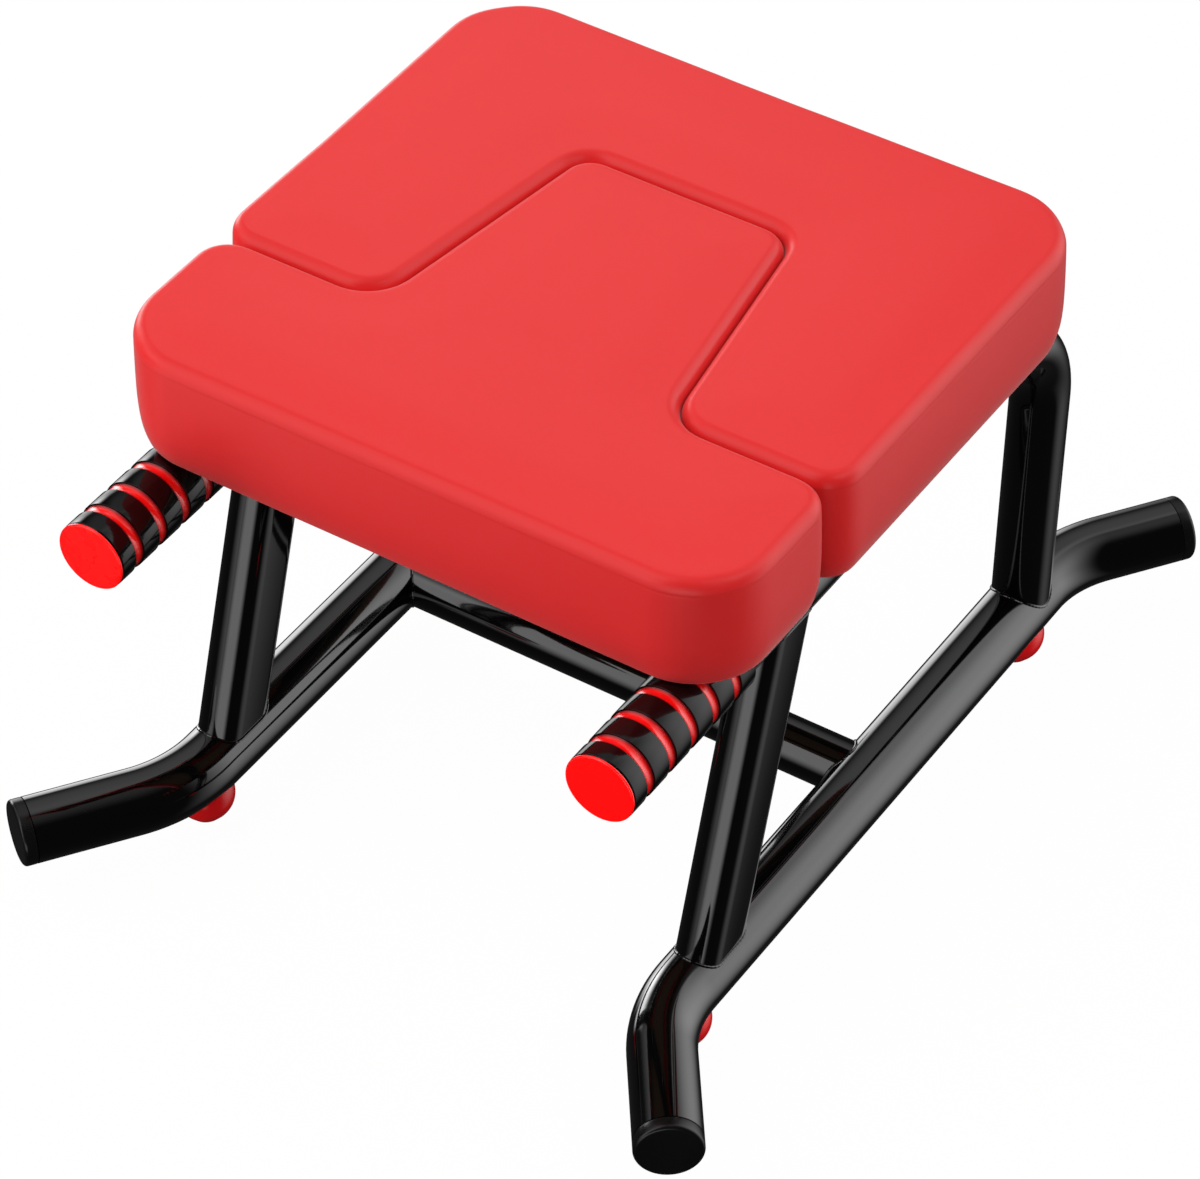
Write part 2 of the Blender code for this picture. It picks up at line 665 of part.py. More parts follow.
def make_bars():
    bush_hole = BUSH_RADIUS + SEAT_GAP
    make_bar("front_crossbar", -BAR_HALF_LENGTH, BAR_HALF_LENGTH, FRONT_BAR_Y, FRONT_BAR_WIDTH,
             [(side * DOWEL_X, FRONT_BAR_Y, bush_hole) for side in (-1, 1)])
    make_bar("middle_crossbar", -BAR_HALF_LENGTH, BAR_HALF_LENGTH, MID_BAR_Y, MID_BAR_WIDTH, [])
    make_bar("rear_crossbar", -BAR_HALF_LENGTH, BAR_HALF_LENGTH, REAR_BAR_Y, REAR_BAR_WIDTH,
             [(side * REAR_BOLT_X, REAR_BAR_Y, BOLT_HOLE) for side in (-1, 1)])
    for side, word in ((-1, "left"), (1, "right")):
        inner, outer = sorted((side * ARM_PLATE_INNER_X, side * BAR_HALF_LENGTH))
        make_bar("arm_plate_" + word, inner, outer, ARM_PLATE_Y, ARM_PLATE_WIDTH,
                 [(side * ARM_BOLT_X, ARM_PLATE_Y, BOLT_HOLE)])


# Fixings
def make_pad_bolt(word, x, y, board):
    """A hexagon bolt from below, and the flanged nut let into the top of the board."""
    head_top = BAR_BOTTOM_Z - SEAT_GAP
    tip = BOARD_TOP_Z - SEAT_GAP
    inside_head = head_top - BOLT_HEAD / 2
    profile = [(0.0, tip), (BOLT_RADIUS - BOLT_CHAMFER, tip), (BOLT_RADIUS, tip - BOLT_CHAMFER),
               (BOLT_RADIUS, inside_head), (0.0, inside_head)]
    bolt = turned("pad_bolt_" + word, profile, SMALL_SIDES, "zinc_steel")
    head = bmesh.new()
    bmesh.ops.create_cone(head, cap_ends=True, segments=6, radius1=BOLT_HEAD_RADIUS, radius2=BOLT_HEAD_RADIUS,
                          depth=BOLT_HEAD)
    bmesh.ops.translate(head, verts=head.verts, vec=(0.0, 0.0, inside_head))
    mesh = bpy.data.meshes.new("bolt_head_" + word)
    head.to_mesh(mesh)
    head.free()
    head_obj = place(bpy.data.objects.new("bolt_head_" + word, mesh))
    head_obj.location = (x, y, 0.0)
    bolt.location = (x, y, 0.0)
    union = bolt.modifiers.new("head", "BOOLEAN")
    union.operation = "UNION"
    union.solver = "EXACT"
    union.object = head_obj

    bore = BOLT_RADIUS + SEAT_GAP
    top = BOARD_TOP_Z
    profile = [(bore, top), (NUT_FLANGE_RADIUS, top), (NUT_FLANGE_RADIUS, top - NUT_FLANGE),
               (NUT_BARREL_RADIUS, top - NUT_FLANGE), (NUT_BARREL_RADIUS, top - NUT_BARREL),
               (bore, top - NUT_BARREL), (bore, top)]
    nut = turned("pad_nut_" + word, profile, SMALL_SIDES, "zinc_steel")
    nut.location = (x, y, 0.0)
    well = cylinder_cutter("nut_well_" + word, NUT_FLANGE_RADIUS + SEAT_GAP,
                           (x, y, top - NUT_FLANGE - SEAT_GAP), (x, y, top + BAR_THICKNESS), SMALL_SIDES)
    hole = cylinder_cutter("nut_hole_" + word, NUT_BARREL_RADIUS + SEAT_GAP,
                           (x, y, PAD_Z - BAR_THICKNESS), (x, y, top + BAR_THICKNESS), SMALL_SIDES)
    cut(board, well)
    cut(board, hole)


def make_dowel(side, word, board):
    """A steel dowel in the front pad's board, and the plastic bush that it drops into."""
    x, y = side * DOWEL_X, FRONT_BAR_Y
    top = PAD_Z + DOWEL_IN_BOARD
    tip = PAD_Z - DOWEL_BELOW_BOARD
    slim = DOWEL_RADIUS - DOWEL_CHAMFER
    profile = [(0.0, top), (DOWEL_RADIUS, top), (DOWEL_RADIUS, tip + 2 * DOWEL_CHAMFER), (slim, tip), (0.0, tip)]
    dowel = turned("pad_dowel_" + word, profile, SMALL_SIDES, "zinc_steel")
    dowel.location = (x, y, 0.0)
    socket = cylinder_cutter("dowel_socket_" + word, DOWEL_RADIUS + SEAT_GAP,
                             (x, y, PAD_Z - BAR_THICKNESS), (x, y, top + SEAT_GAP), SMALL_SIDES)
    cut(board, socket)

    bore = DOWEL_RADIUS + SLIDE_GAP
    flange_top = BAR_BOTTOM_Z - SEAT_GAP
    profile = [(bore, BAR_TOP_Z), (BUSH_RADIUS, BAR_TOP_Z), (BUSH_RADIUS, flange_top),
               (BUSH_FLANGE_RADIUS, flange_top), (BUSH_FLANGE_RADIUS, flange_top - BUSH_FLANGE),
               (BUSH_RADIUS, flange_top - BUSH_FLANGE), (BUSH_RADIUS, flange_top - BUSH_TAIL),
               (bore, flange_top - BUSH_TAIL), (bore, BAR_TOP_Z)]
    bush = turned("dowel_bush_" + word, profile, SMALL_SIDES, "black_plastic")
    bush.location = (x, y, 0.0)


def main():
    clear_scene()
    saddles = []
    for side, word in ((-1, "left"), (1, "right")):
        saddle = make_base(side, word)
        saddles.append(saddle)
        make_side_rail(side, word, saddle)
        make_front_leg(side, word, saddle)
        make_grip(side, word)
    make_cross_tube(saddles)
    make_bars()

    _, rear_board, _ = make_pad("u_pad", rear_pad_corners())
    _, front_board, _ = make_pad("t_pad", front_pad_corners())
    for side, word in ((-1, "left"), (1, "right")):
        make_pad_bolt("arm_" + word, side * ARM_BOLT_X, ARM_PLATE_Y, rear_board)
        make_pad_bolt("rear_" + word, side * REAR_BOLT_X, REAR_BAR_Y, rear_board)
        make_dowel(side, word, front_board)


main()
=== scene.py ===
"""Yoga inversion bench, dressed for the camera: smooth tubes, padded cushions, grips, feet and fixings."""
import json
import math

import bmesh
import bpy
from bpy.props import FloatProperty, FloatVectorProperty, IntProperty, PointerProperty
from mathutils import Matrix, Vector, geometry, kdtree

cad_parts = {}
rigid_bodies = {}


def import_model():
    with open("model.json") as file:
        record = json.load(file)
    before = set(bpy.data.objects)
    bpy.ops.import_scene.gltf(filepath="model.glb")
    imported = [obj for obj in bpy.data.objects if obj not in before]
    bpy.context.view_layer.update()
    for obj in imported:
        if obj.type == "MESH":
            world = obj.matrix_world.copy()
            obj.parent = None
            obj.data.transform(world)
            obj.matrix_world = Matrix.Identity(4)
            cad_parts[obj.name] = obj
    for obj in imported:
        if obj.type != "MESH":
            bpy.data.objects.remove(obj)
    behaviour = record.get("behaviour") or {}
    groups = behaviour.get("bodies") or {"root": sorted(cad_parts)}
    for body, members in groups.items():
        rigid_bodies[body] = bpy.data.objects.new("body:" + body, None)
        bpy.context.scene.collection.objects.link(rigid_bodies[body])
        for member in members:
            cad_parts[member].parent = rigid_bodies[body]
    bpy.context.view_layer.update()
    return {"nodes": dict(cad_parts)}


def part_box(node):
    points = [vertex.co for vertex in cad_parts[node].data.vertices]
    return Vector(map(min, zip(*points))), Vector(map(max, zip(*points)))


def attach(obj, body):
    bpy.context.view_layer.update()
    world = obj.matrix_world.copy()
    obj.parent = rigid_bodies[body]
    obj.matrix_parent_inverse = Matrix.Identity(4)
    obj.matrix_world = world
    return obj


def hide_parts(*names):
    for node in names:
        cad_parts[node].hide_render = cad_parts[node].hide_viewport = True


bl_info = {
    "name": "Yoga Inversion Bench",
    "version": (1, 0, 0),
    "blender": (4, 5, 0),
    "location": "View3D > Sidebar > Bench",
    "description": "Builds a padded inversion bench piece by piece around its frame",
    "category": "Add Mesh",
}

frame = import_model()

SIDES = ((-1, "left"), (1, "right"))
ENDS = ("front", "rear")
BACKWARDS = Vector((0.0, 1.0, 0.0))
MERGE_DISTANCE = 0.00001

# How many sides the round pieces have
BASE_SIDES = 72
TUBE_SIDES = 64
GRIP_SIDES = 96
FIXING_SIDES = 40


# Sizes that follow from the frame
def middle(node):
    """The centre of a node's box."""
    low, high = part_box(node)
    return (low + high) / 2


# Settings that a user can change
def length(name, description, default):
    """A size in metres."""
    return FloatProperty(name=name, description=description, default=default, unit="LENGTH",
                         subtype="DISTANCE")


def pigment(name, description, default):
    """A colour of a finish."""
    return FloatVectorProperty(name=name, description=description, default=default, subtype="COLOR", size=3,
                               min=0.0, max=1.0)


class BenchSeatSizes(bpy.types.PropertyGroup):
    """Outline and section of the two seat pads"""
    width: length("Width", "Overall width of the seat", 0.385)
    front_y: length("Front", "Front edge of the seat", -0.2075)
    rear_y: length("Rear", "Rear edge of the seat", 0.1625)
    split_y: length("Split", "Line between the pads at the sides", -0.1012)
    neck_y: length("Neck end", "Rear end of the neck opening", 0.0609)
    neck_front: length("Neck front", "Half width of the neck opening at the front", 0.0899)
    neck_rear: length("Neck rear", "Half width of the neck opening at the rear", 0.0661)
    corner: length("Corner", "Radius of the seat's outer corners", 0.045)
    split_corner: length("Split corner", "Radius where the split meets the sides", 0.021)
    neck_front_corner: length("Neck front corner", "Radius at the neck's front", 0.026)
    neck_rear_corner: length("Neck rear corner", "Radius at the neck's rear", 0.018)
    parting: length("Parting", "Half of the gap between the pads", 0.0001)
    thickness: length("Thickness", "Height of a pad at its edge", 0.0709)
    crown: length("Crown", "Rise of the pad's middle over its edge", 0.0010)
    outer_edge: length("Outer edge", "Width of the rolled edge round the outside", 0.0076)
    outer_drop: length("Outer drop", "Height of the rolled edge round the outside", 0.0084)
    seam_edge: length("Seam edge", "Width of the rolled edge along the split", 0.0080)
    seam_drop: length("Seam drop", "Height of the rolled edge along the split", 0.0084)
    groove: length("Sewn groove", "Depth of the sewn line under the rolled edge", 0.0001)
    front_trim: length("Front pad's trim", "How much less the front pad reaches out sideways", 0.0020)
    undercut: length("Undercut", "How far the sides draw in at the bottom", 0.0035)
    bulge: length("Bulge", "Swell of the sides below half height", 0.0014)
    grid: length("Grid", "Spacing of the cover's mesh points", 0.005)
    puff: length("Puff", "Most that the stuffing may push the cover out", 0.0008)


class BenchFrameSizes(bpy.types.PropertyGroup):
    """Tubes and plates of the frame"""
    side_x: length("Side", "Half distance between the side frames", 0.157)
    base_radius: length("Base tube", "Radius of the base tubes", 0.019)
    base_z: length("Base height", "Height of the base tubes' axis", 0.034)
    base_bend: length("Base bend", "Radius of the bends in the base tubes", 0.085)
    splay: FloatProperty(name="Splay", description="Angle of the base tubes' ends", subtype="ANGLE",
                         default=math.radians(35.5))
    front_bend_y: length("Front bend", "Corner of the front bend", -0.209)
    rear_bend_y: length("Rear bend", "Corner of the rear bend", 0.221)
    front_end: length("Front end", "Length of a front end past its bend", 0.095)
    rear_end: length("Rear end", "Length of a rear end past its bend", 0.080)
    end_cap: length("End plug", "Visible length of an end plug", 0.008)
    rail_radius: length("Rail", "Radius of the side rails", 0.017)
    rail_z: length("Rail height", "Height of the side rails' axis", 0.2505)
    rail_bend: length("Rail bend", "Radius of the bend over the rear leg", 0.060)
    rear_foot_y: length("Rear leg foot", "Rear leg at the base tube", 0.1754)
    rear_top_y: length("Rear leg top", "Rear leg at the rail's height", 0.1832)
    leg_thickness: length("Leg thickness", "Thickness of the oval front legs", 0.027)
    leg_length: length("Leg depth", "Depth of the oval front legs", 0.045)
    leg_foot_y: length("Front leg foot", "Front leg at the base tube", -0.1637)
    leg_top_y: length("Front leg top", "Front leg at the rail", -0.0986)
    cross_radius: length("Cross tube", "Radius of the cross tube", 0.016)
    cross_y: length("Cross tube place", "Where the cross tube is", 0.0057)
    weld: length("Weld", "Radius of the weld beads", 0.0009)
    bar_edge: length("Bar edge", "Rounding of the flat bars' edges", 0.0006)


class BenchGripSizes(bpy.types.PropertyGroup):
    """Hand grips at the front of the rails"""
    radius: length("Radius", "Radius of the black sleeve", 0.0203)
    end_y: length("End", "Front face of the end cap", -0.2678)
    cap: length("Cap", "Thickness of the end cap", 0.0012)
    rings: IntProperty(name="Rings", description="Number of red rings", default=5)
    first_ring: length("First ring", "End of the grip to the middle of a ring", 0.0163)
    pitch: length("Pitch", "Distance from ring to ring", 0.0203)
    ring_width: length("Ring width", "Width of a red ring", 0.0068)
    groove: length("Groove", "Depth of the groove that holds a ring", 0.0022)
    sunk: length("Sunk", "How far a ring's edges lie under the sleeve", 0.0008)
    dish: length("Dish", "Hollow of a ring between its edges", 0.0010)


class BenchColours(bpy.types.PropertyGroup):
    """Colours of the finishes"""
    vinyl: pigment("Vinyl", "Seat cover", (0.70, 0.0196, 0.0204))
    paint: pigment("Paint", "Frame tubes", (0.0008, 0.0008, 0.0009))
    bar_paint: pigment("Bar paint", "Flat bars and plates", (0.010, 0.010, 0.0105))
    plastic: pigment("Plastic", "End plugs and bushes", (0.003, 0.003, 0.0032))
    rubber: pigment("Grip rubber", "Black sleeve of the grips", (0.0010, 0.0010, 0.0011))
    ring_red: pigment("Grip red", "Rings and caps of the grips", (1.0, 0.002, 0.002))
    # Painted shade: this colour darkens each grip ring towards its edges, where the sleeve's groove shades it
    ring_edge_shade: pigment("Ring edges", "Edges of the rings, where black rubber rubs off", (0.16, 0.0, 0.001))
    foot_red: pigment("Foot red", "Rubber feet", (0.76, 0.009, 0.011))
    plywood: pigment("Plywood", "Boards under the pads", (0.34, 0.21, 0.12))
    zinc: pigment("Zinc", "Bolts, nuts and dowels", (0.62, 0.63, 0.65))


# Node trees: sockets with arithmetic, and one way to add any node
class Wire:
    """An output socket; arithmetic on it adds Math nodes to its tree."""

    def __init__(self, graph, socket):
        self.graph = graph
        self.socket = socket

    def __add__(self, other):
        return self.graph.maths("ADD", self, other)

    def __sub__(self, other):
        return self.graph.maths("SUBTRACT", self, other)

    def __rsub__(self, other):
        return self.graph.maths("SUBTRACT", other, self)

    def __mul__(self, other):
        return self.graph.maths("MULTIPLY", self, other)

    def __truediv__(self, other):
        return self.graph.maths("DIVIDE", self, other)

    __radd__ = __add__
    __rmul__ = __mul__


def spaced(inputs):
    """Keywords as socket names."""
    return {name.replace("_", " "): value for name, value in inputs.items()}


class Graph:
    """A node tree being built."""

    def __init__(self, tree):
        self.tree = tree

    def add(self, kind, settings=None, inputs=None, output=0):
        """Adds a node, sets its settings and then its sockets by name or number, and returns one output."""
        node = self.tree.nodes.new(kind)
        for name, value in (settings or {}).items():
            setattr(node, name, value)
        for name, value in (inputs or {}).items():
            self.join(node.inputs[name], value)
        return Wire(self, node.outputs[output])

    def join(self, socket, value):
        """Links a wire to a socket or sets the socket's own value."""
        if isinstance(value, Wire):
            self.tree.links.new(value.socket, socket)
        else:
            socket.default_value = value

    def maths(self, operation, *values):
        return self.add("ShaderNodeMath", {"operation": operation}, dict(enumerate(values)))

    def geo(self, kind, settings=None, **inputs):
        """Adds a geometry node."""
        return self.add("GeometryNode" + kind, settings, spaced(inputs))

    def axis(self, vector, name):
        return self.add("ShaderNodeSeparateXYZ", None, {"Vector": vector}, name)

    def fade(self, value, dark, full):
        """Runs smoothly from 0 to 1 as a value goes from one place to another."""
        return self.add("ShaderNodeMapRange", {"interpolation_type": "SMOOTHSTEP"},
                        {"Value": value, "From Min": dark, "From Max": full}, "Result")


class Finish(Graph):
    """A material whose Principled shader is filled in through the same calls."""

    def __init__(self, name):
        self.material = bpy.data.materials.new(name)
        self.material.use_nodes = True
        super().__init__(self.material.node_tree)
        self.shader = self.tree.nodes["Principled BSDF"]

    def set(self, **values):
        for name, value in spaced(values).items():
            self.join(self.shader.inputs[name], value)

    def place(self):
        return self.add("ShaderNodeTexCoord", output="Object")

    def noise(self, scale, detail=2.0, roughness=0.5, vector=None):
        return self.add("ShaderNodeTexNoise", None, {"Vector": vector or self.place(), "Scale": scale,
                                                     "Detail": detail, "Roughness": roughness}, "Fac")

    def bands(self, direction, scale, distortion, detail):
        return self.add("ShaderNodeTexWave", {"wave_type": "BANDS", "bands_direction": direction},
                        {"Vector": self.place(), "Scale": scale, "Distortion": distortion,
                         "Detail": detail}, "Fac")

    def stretch(self, x, y, z):
        return self.add("ShaderNodeMapping", None, {"Vector": self.place(), "Scale": (x, y, z)})

    def tint(self, amount, dark, light):
        """Colour between dark and light by a value of 0 to 1."""
        return self.add("ShaderNodeMix", {"data_type": "RGBA", "clamp_factor": True},
                        {0: amount, 6: (*dark, 1.0), 7: (*light, 1.0)}, 2)

    def bump(self, height, strength, distance):
        self.set(Normal=self.add("ShaderNodeBump", None,
                                 {"Height": height, "Strength": strength, "Distance": distance}))


# Finishes
def shade(colour, factor):
    """A colour made darker or lighter."""
    return tuple(min(1.0, part * factor) for part in colour)


def colours():
    return bpy.context.scene.bench_colours


def mottled(name, colour, cloud, shades, rough, grain, **rest):
    """A finish with slow noise in its colour and roughness, and a fine grain.

    cloud holds the slow noise's scale, detail and roughness, and shades its two factors of the colour.
    rough holds the least roughness and how much the noise adds.
    grain holds the fine noise's scale and detail, and the bump's strength and distance.
    """
    finish = Finish(name)
    slow = finish.noise(*cloud)
    finish.set(Base_Color=finish.tint(slow, shade(colour, shades[0]), shade(colour, shades[1])),
               Roughness=rough[0] + slow * rough[1], **rest)
    finish.bump(finish.noise(*grain[:2]), *grain[2:])
    return finish.material


def gloss_paint():
    """Black powder coat under a clear gloss, with a faint orange peel."""
    return mottled("gloss_black_paint", colours().paint, (14.0, 3.0), (1.0, 1.6), (0.07, 0.04),
                   (420.0, 1.0, 0.03, 0.0003), IOR=1.5, Coat_Weight=1.0, Coat_Roughness=0.04, Coat_IOR=1.5)


def bar_paint():
    """Satin black paint on the flat bars, a little rubbed at random."""
    return mottled("satin_black_paint", colours().bar_paint, (30.0, 4.0, 0.6), (1.0, 1.8), (0.24, 0.14),
                   (900.0, 2.0, 0.10, 0.0003), IOR=1.5)


def moulded_plastic():
    """Black moulded plastic with a fine spark-eroded grain."""
    return mottled("black_moulded_plastic", colours().plastic, (40.0, 3.0), (1.0, 1.8), (0.16, 0.10),
                   (2600.0, 1.0, 0.06, 0.0002), IOR=1.48)


def zinc_plate():
    """Bright zinc plate with dull patches and a fine grain."""
    return mottled("zinc_plated_steel", colours().zinc, (160.0, 4.0, 0.6), (0.80, 1.1), (0.22, 0.16),
                   (1400.0, 2.0, 0.08, 0.0002), Metallic=1.0)


def cap_plastic():
    """The grip caps' bright red, with a painted glow: emission that makes the red brighter than the lamps
    alone do.
    """
    red = colours().ring_red
    # Emission here is painted light, a glow that brightens the caps' red
    return mottled("red_cap_plastic", red, (70.0, 3.0), (0.95, 1.0), (0.24, 0.08),
                   (1200.0, 1.0, 0.03, 0.0002), IOR=1.45, Emission_Color=(*red, 1.0), Emission_Strength=0.42,
                   Coat_Weight=1.0, Coat_Roughness=0.15, Coat_IOR=1.5)


def grip_rubber():
    """Glossy black grip rubber, with faint lines round it from the mould."""
    colour = tuple(colours().rubber)
    finish = Finish("black_grip_rubber")
    cloud = finish.noise(55.0, 3.0)
    finish.set(Base_Color=finish.tint(cloud, colour, shade(colour, 2.0)), Roughness=0.06 + cloud * 0.05,
               IOR=1.42)
    finish.bump(finish.bands("Y", 220.0, 0.6, 1.0), 0.04, 0.0001)
    return finish.material


def red_plastic():
    """Bright red moulded plastic of the grip rings, with painted shade that darkens it towards the edges of
    each ring.
    """
    grip = bpy.context.scene.bench_grips
    finish = Finish("red_moulded_plastic")
    cloud = finish.noise(60.0, 3.0)
    along = finish.axis(finish.place(), "Y")
    from_ring = finish.maths("WRAP", along - (grip.end_y + grip.first_ring), grip.pitch / 2, -grip.pitch / 2)
    edge = finish.maths("ABSOLUTE", from_ring) / (grip.ring_width / 2) + cloud * 0.06
    # Painted shade: the colour runs from the ring red to the darker edge colour as the edge of a ring nears
    finish.set(Base_Color=finish.tint(finish.fade(edge, 0.35, 1.0), colours().ring_red, colours().ring_edge_shade),
               Roughness=0.22 + cloud * 0.08, IOR=1.5, Coat_Weight=1.0, Coat_Roughness=0.15, Coat_IOR=1.5)
    finish.bump(finish.noise(1500.0, 1.0), 0.03, 0.0002)
    return finish.material


def foot_rubber():
    """Glossy red rubber, a little darker and rougher low down near the floor."""
    colour = tuple(colours().foot_red)
    finish = Finish("red_foot_rubber")
    cloud = finish.noise(90.0, 4.0, 0.6)
    height = finish.axis(finish.place(), "Z")
    # Darker and rougher within a few millimetres of the floor, mixed with noise
    darker_low_down = finish.maths("SMOOTH_MIN", finish.maths("MAXIMUM", 1.0 - height * 220.0, 0.0), cloud * 1.4, 0.1)
    finish.set(Base_Color=finish.tint(darker_low_down, colour, shade(colour, 0.45)), Roughness=0.16 + darker_low_down * 0.35,
               IOR=1.5)
    finish.bump(cloud, 0.05, 0.0004)
    return finish.material


def seat_vinyl():
    """Smooth upholstery vinyl: a fine leather grain with slow changes of colour and sheen."""
    colour = tuple(colours().vinyl)
    finish = Finish("red_seat_vinyl")
    patch = finish.noise(60.0, 2.0)
    grain = finish.add("ShaderNodeTexVoronoi", {"feature": "DISTANCE_TO_EDGE"},
                       {"Vector": finish.place(), "Scale": 950.0, "Randomness": 0.9}, "Distance")
    cells = finish.maths("MINIMUM", grain * 3.2, 1.0)
    mottle = finish.noise(7.0, 3.0, 0.55) * 0.7 + patch * 0.3
    finish.set(Base_Color=finish.tint(mottle, shade(colour, 0.965), shade(colour, 1.02)),
               Roughness=0.33 + patch * 0.07 - cells * 0.03, IOR=1.44,
               Sheen_Weight=0.25, Sheen_Roughness=0.35)
    finish.bump(cells * 0.7 + finish.noise(2400.0, 1.0) * 0.3, 0.10, 0.00012)
    return finish.material


def plywood():
    """Dark-stained plywood: grain along X on the faces and thin layers on the edges."""
    colour = tuple(colours().plywood)
    finish = Finish("stained_plywood")
    grain = finish.noise(1.6, 5.0, 0.62, finish.stretch(5.0, 90.0, 60.0))
    pores = finish.noise(9.0, 2.0, 0.5, finish.stretch(12.0, 260.0, 160.0))
    facing = finish.axis(finish.add("ShaderNodeNewGeometry", output="True Normal"), "Z")
    edge = finish.maths("MINIMUM", (1.0 - finish.maths("ABSOLUTE", facing)) * 1.2, 1.0)
    mix = grain * (1.0 - edge) + finish.bands("Z", 105.0, 1.5, 2.0) * edge
    finish.set(Base_Color=finish.tint(mix, shade(colour, 0.62), shade(colour, 1.15)),
               Roughness=0.55 + pores * 0.2, IOR=1.45)
    finish.bump(pores, 0.25, 0.0004)
    return finish.material


FINISHES = {
    "gloss_black_paint": gloss_paint,
    "black_bar_paint": bar_paint,
    "black_plastic": moulded_plastic,
    "black_grip_rubber": grip_rubber,
    "red_grip_rubber": red_plastic,
    "red_grip_cap": cap_plastic,
    "red_rubber": foot_rubber,
    "red_vinyl": seat_vinyl,
    "plywood": plywood,
    "zinc_steel": zinc_plate,
}
made_finishes = {}


def finish_for(slot):
    """A slot's material, made when it is first asked for."""
    if slot not in made_finishes:
        made_finishes[slot] = FINISHES[slot]()
    return made_finishes[slot]


# Making and placing pieces
def linked(name, data):
    """A new object in the scene."""
    obj = bpy.data.objects.new(name, data)
    bpy.context.scene.collection.objects.link(obj)
    return obj


def mesh_of(bm, name):
    """The mesh of what was built, which is freed."""
    mesh = bpy.data.meshes.new(name)
    bm.to_mesh(mesh)
    bm.free()
    return mesh


def settle(name, mesh, slot, nodes, body="frame", sharp=35.0, finish=None):
    """Makes a finished piece of a mesh that is already in place. The finish may differ from its slot's."""
    mesh.name = name
    mesh.shade_smooth()
    mesh.set_sharp_from_angle(angle=math.radians(sharp))
    mesh.materials.clear()
    mesh.materials.append(finish_for(finish or slot))
    piece = linked(name, mesh)
    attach(piece, body)
    if nodes:
        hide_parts(*nodes)
    return piece


def weld_points(mesh, distance=MERGE_DISTANCE):
    """Merges doubled points and turns the faces outwards."""
    bm = bmesh.new()
    bm.from_mesh(mesh)
    bmesh.ops.remove_doubles(bm, verts=bm.verts, dist=distance)
    bmesh.ops.recalc_face_normals(bm, faces=bm.faces)
    return mesh_of(bm, "welded")


def baked(obj):
    """The evaluated mesh of a temporary object, which is removed."""
    bpy.context.view_layer.update()
    mesh = bpy.data.meshes.new_from_object(obj.evaluated_get(bpy.context.evaluated_depsgraph_get()))
    mesh.transform(obj.matrix_world)
    bpy.data.objects.remove(obj, do_unlink=True)
    return mesh


def grown(mesh, tree, slot, **values):
    """Runs a Geometry Nodes tree on a mesh, with its inputs as keywords, and returns the plain mesh."""
    obj = linked("grown", mesh)
    modifier = obj.modifiers.new("grow", "NODES")
    modifier.node_group = tree
    values = {**spaced(values), "Material": finish_for(slot)}
    for item in tree.interface.items_tree:
        if item.item_type == "SOCKET" and item.in_out == "INPUT" and item.name in values:
            modifier[item.identifier] = values[item.name]
    return baked(obj)


def line_mesh(points, closed=False):
    """Points with an edge from each to the next."""
    mesh = bpy.data.meshes.new("line")
    edges = [(i, i + 1) for i in range(len(points) - 1)]
    if closed:
        edges.append((len(points) - 1, 0))
    mesh.from_pydata([tuple(point) for point in points], edges, [])
    return mesh


def joined(*meshes):
    """One mesh of several."""
    bm = bmesh.new()
    for mesh in meshes:
        bm.from_mesh(mesh)
    return mesh_of(bm, "joined")


def circle(count):
    """Points round a circle of radius 1."""
    turns = [2 * math.pi * i / count for i in range(count)]
    return [(math.cos(turn), math.sin(turn)) for turn in turns]


def bridge(bm, rings):
    """Faces from ring to ring, where a ring may be one point."""
    count = max(len(ring) for ring in rings)
    for lower, upper in zip(rings, rings[1:]):
        for i in range(count):
            j = (i + 1) % count
            steps = ((lower, i), (lower, j), (upper, j), (upper, i))
            corners = dict.fromkeys(ring[step % len(ring)] for ring, step in steps)
            bm.faces.new(list(corners))


def turned(profile, sides, start=(0.0, 0.0, 0.0), direction=(0.0, 0.0, 1.0)):
    """A closed turned mesh. The profile is (radius, distance along the direction) from end to end."""
    bm = bmesh.new()
    rings = []
    for radius, along in profile:
        spots = [(radius * x, radius * y, along) for x, y in circle(sides if radius > 0.0 else 1)]
        rings.append([bm.verts.new(spot) for spot in spots])
    bridge(bm, rings)
    if profile[0] == profile[-1]:
        bmesh.ops.remove_doubles(bm, verts=bm.verts, dist=MERGE_DISTANCE)
    bmesh.ops.recalc_face_normals(bm, faces=bm.faces)
    turn = Vector((0, 0, 1)).rotation_difference(Vector(direction)).to_matrix().to_4x4()
    bmesh.ops.transform(bm, matrix=Matrix.Translation(start) @ turn, verts=bm.verts)
    return mesh_of(bm, "turned")


def arc(radius, height, corner, start, end, steps):
    """Profile points of a rounded corner about (radius, height), from one angle to another in degrees."""
    points = []
    for step in range(steps + 1):
        angle = math.radians(start + (end - start) * step / steps)
        points.append((radius + corner * math.cos(angle), height + corner * math.sin(angle)))
    return points


# Geometry Nodes trees
def new_tree(name, **inputs):
    """A Geometry Nodes tree with inputs of (type, default), one for the shape and one for the material."""
    tree = bpy.data.node_groups.new(name, "GeometryNodeTree")
    wanted = {"Geometry": ("Geometry", None), **spaced(inputs), "Material": ("Material", None)}
    for label, (kind, default) in wanted.items():
        socket = tree.interface.new_socket(label, in_out="INPUT", socket_type="NodeSocket" + kind)
        if default is not None:
            socket.default_value = default
    tree.interface.new_socket("Geometry", in_out="OUTPUT", socket_type="NodeSocketGeometry")
    graph = Graph(tree)
    start = tree.nodes.new("NodeGroupInput")
    return graph, {socket.name: Wire(graph, socket) for socket in start.outputs if socket.name}


def close_tree(graph, shape, wires):
    """Ends a tree with its shape made real and painted."""
    real = graph.geo("RealizeInstances", Geometry=shape)
    painted = graph.geo("SetMaterial", Geometry=real, Material=wires["Material"])
    graph.join(graph.tree.nodes.new("NodeGroupOutput").inputs[0], painted)
    return graph.tree


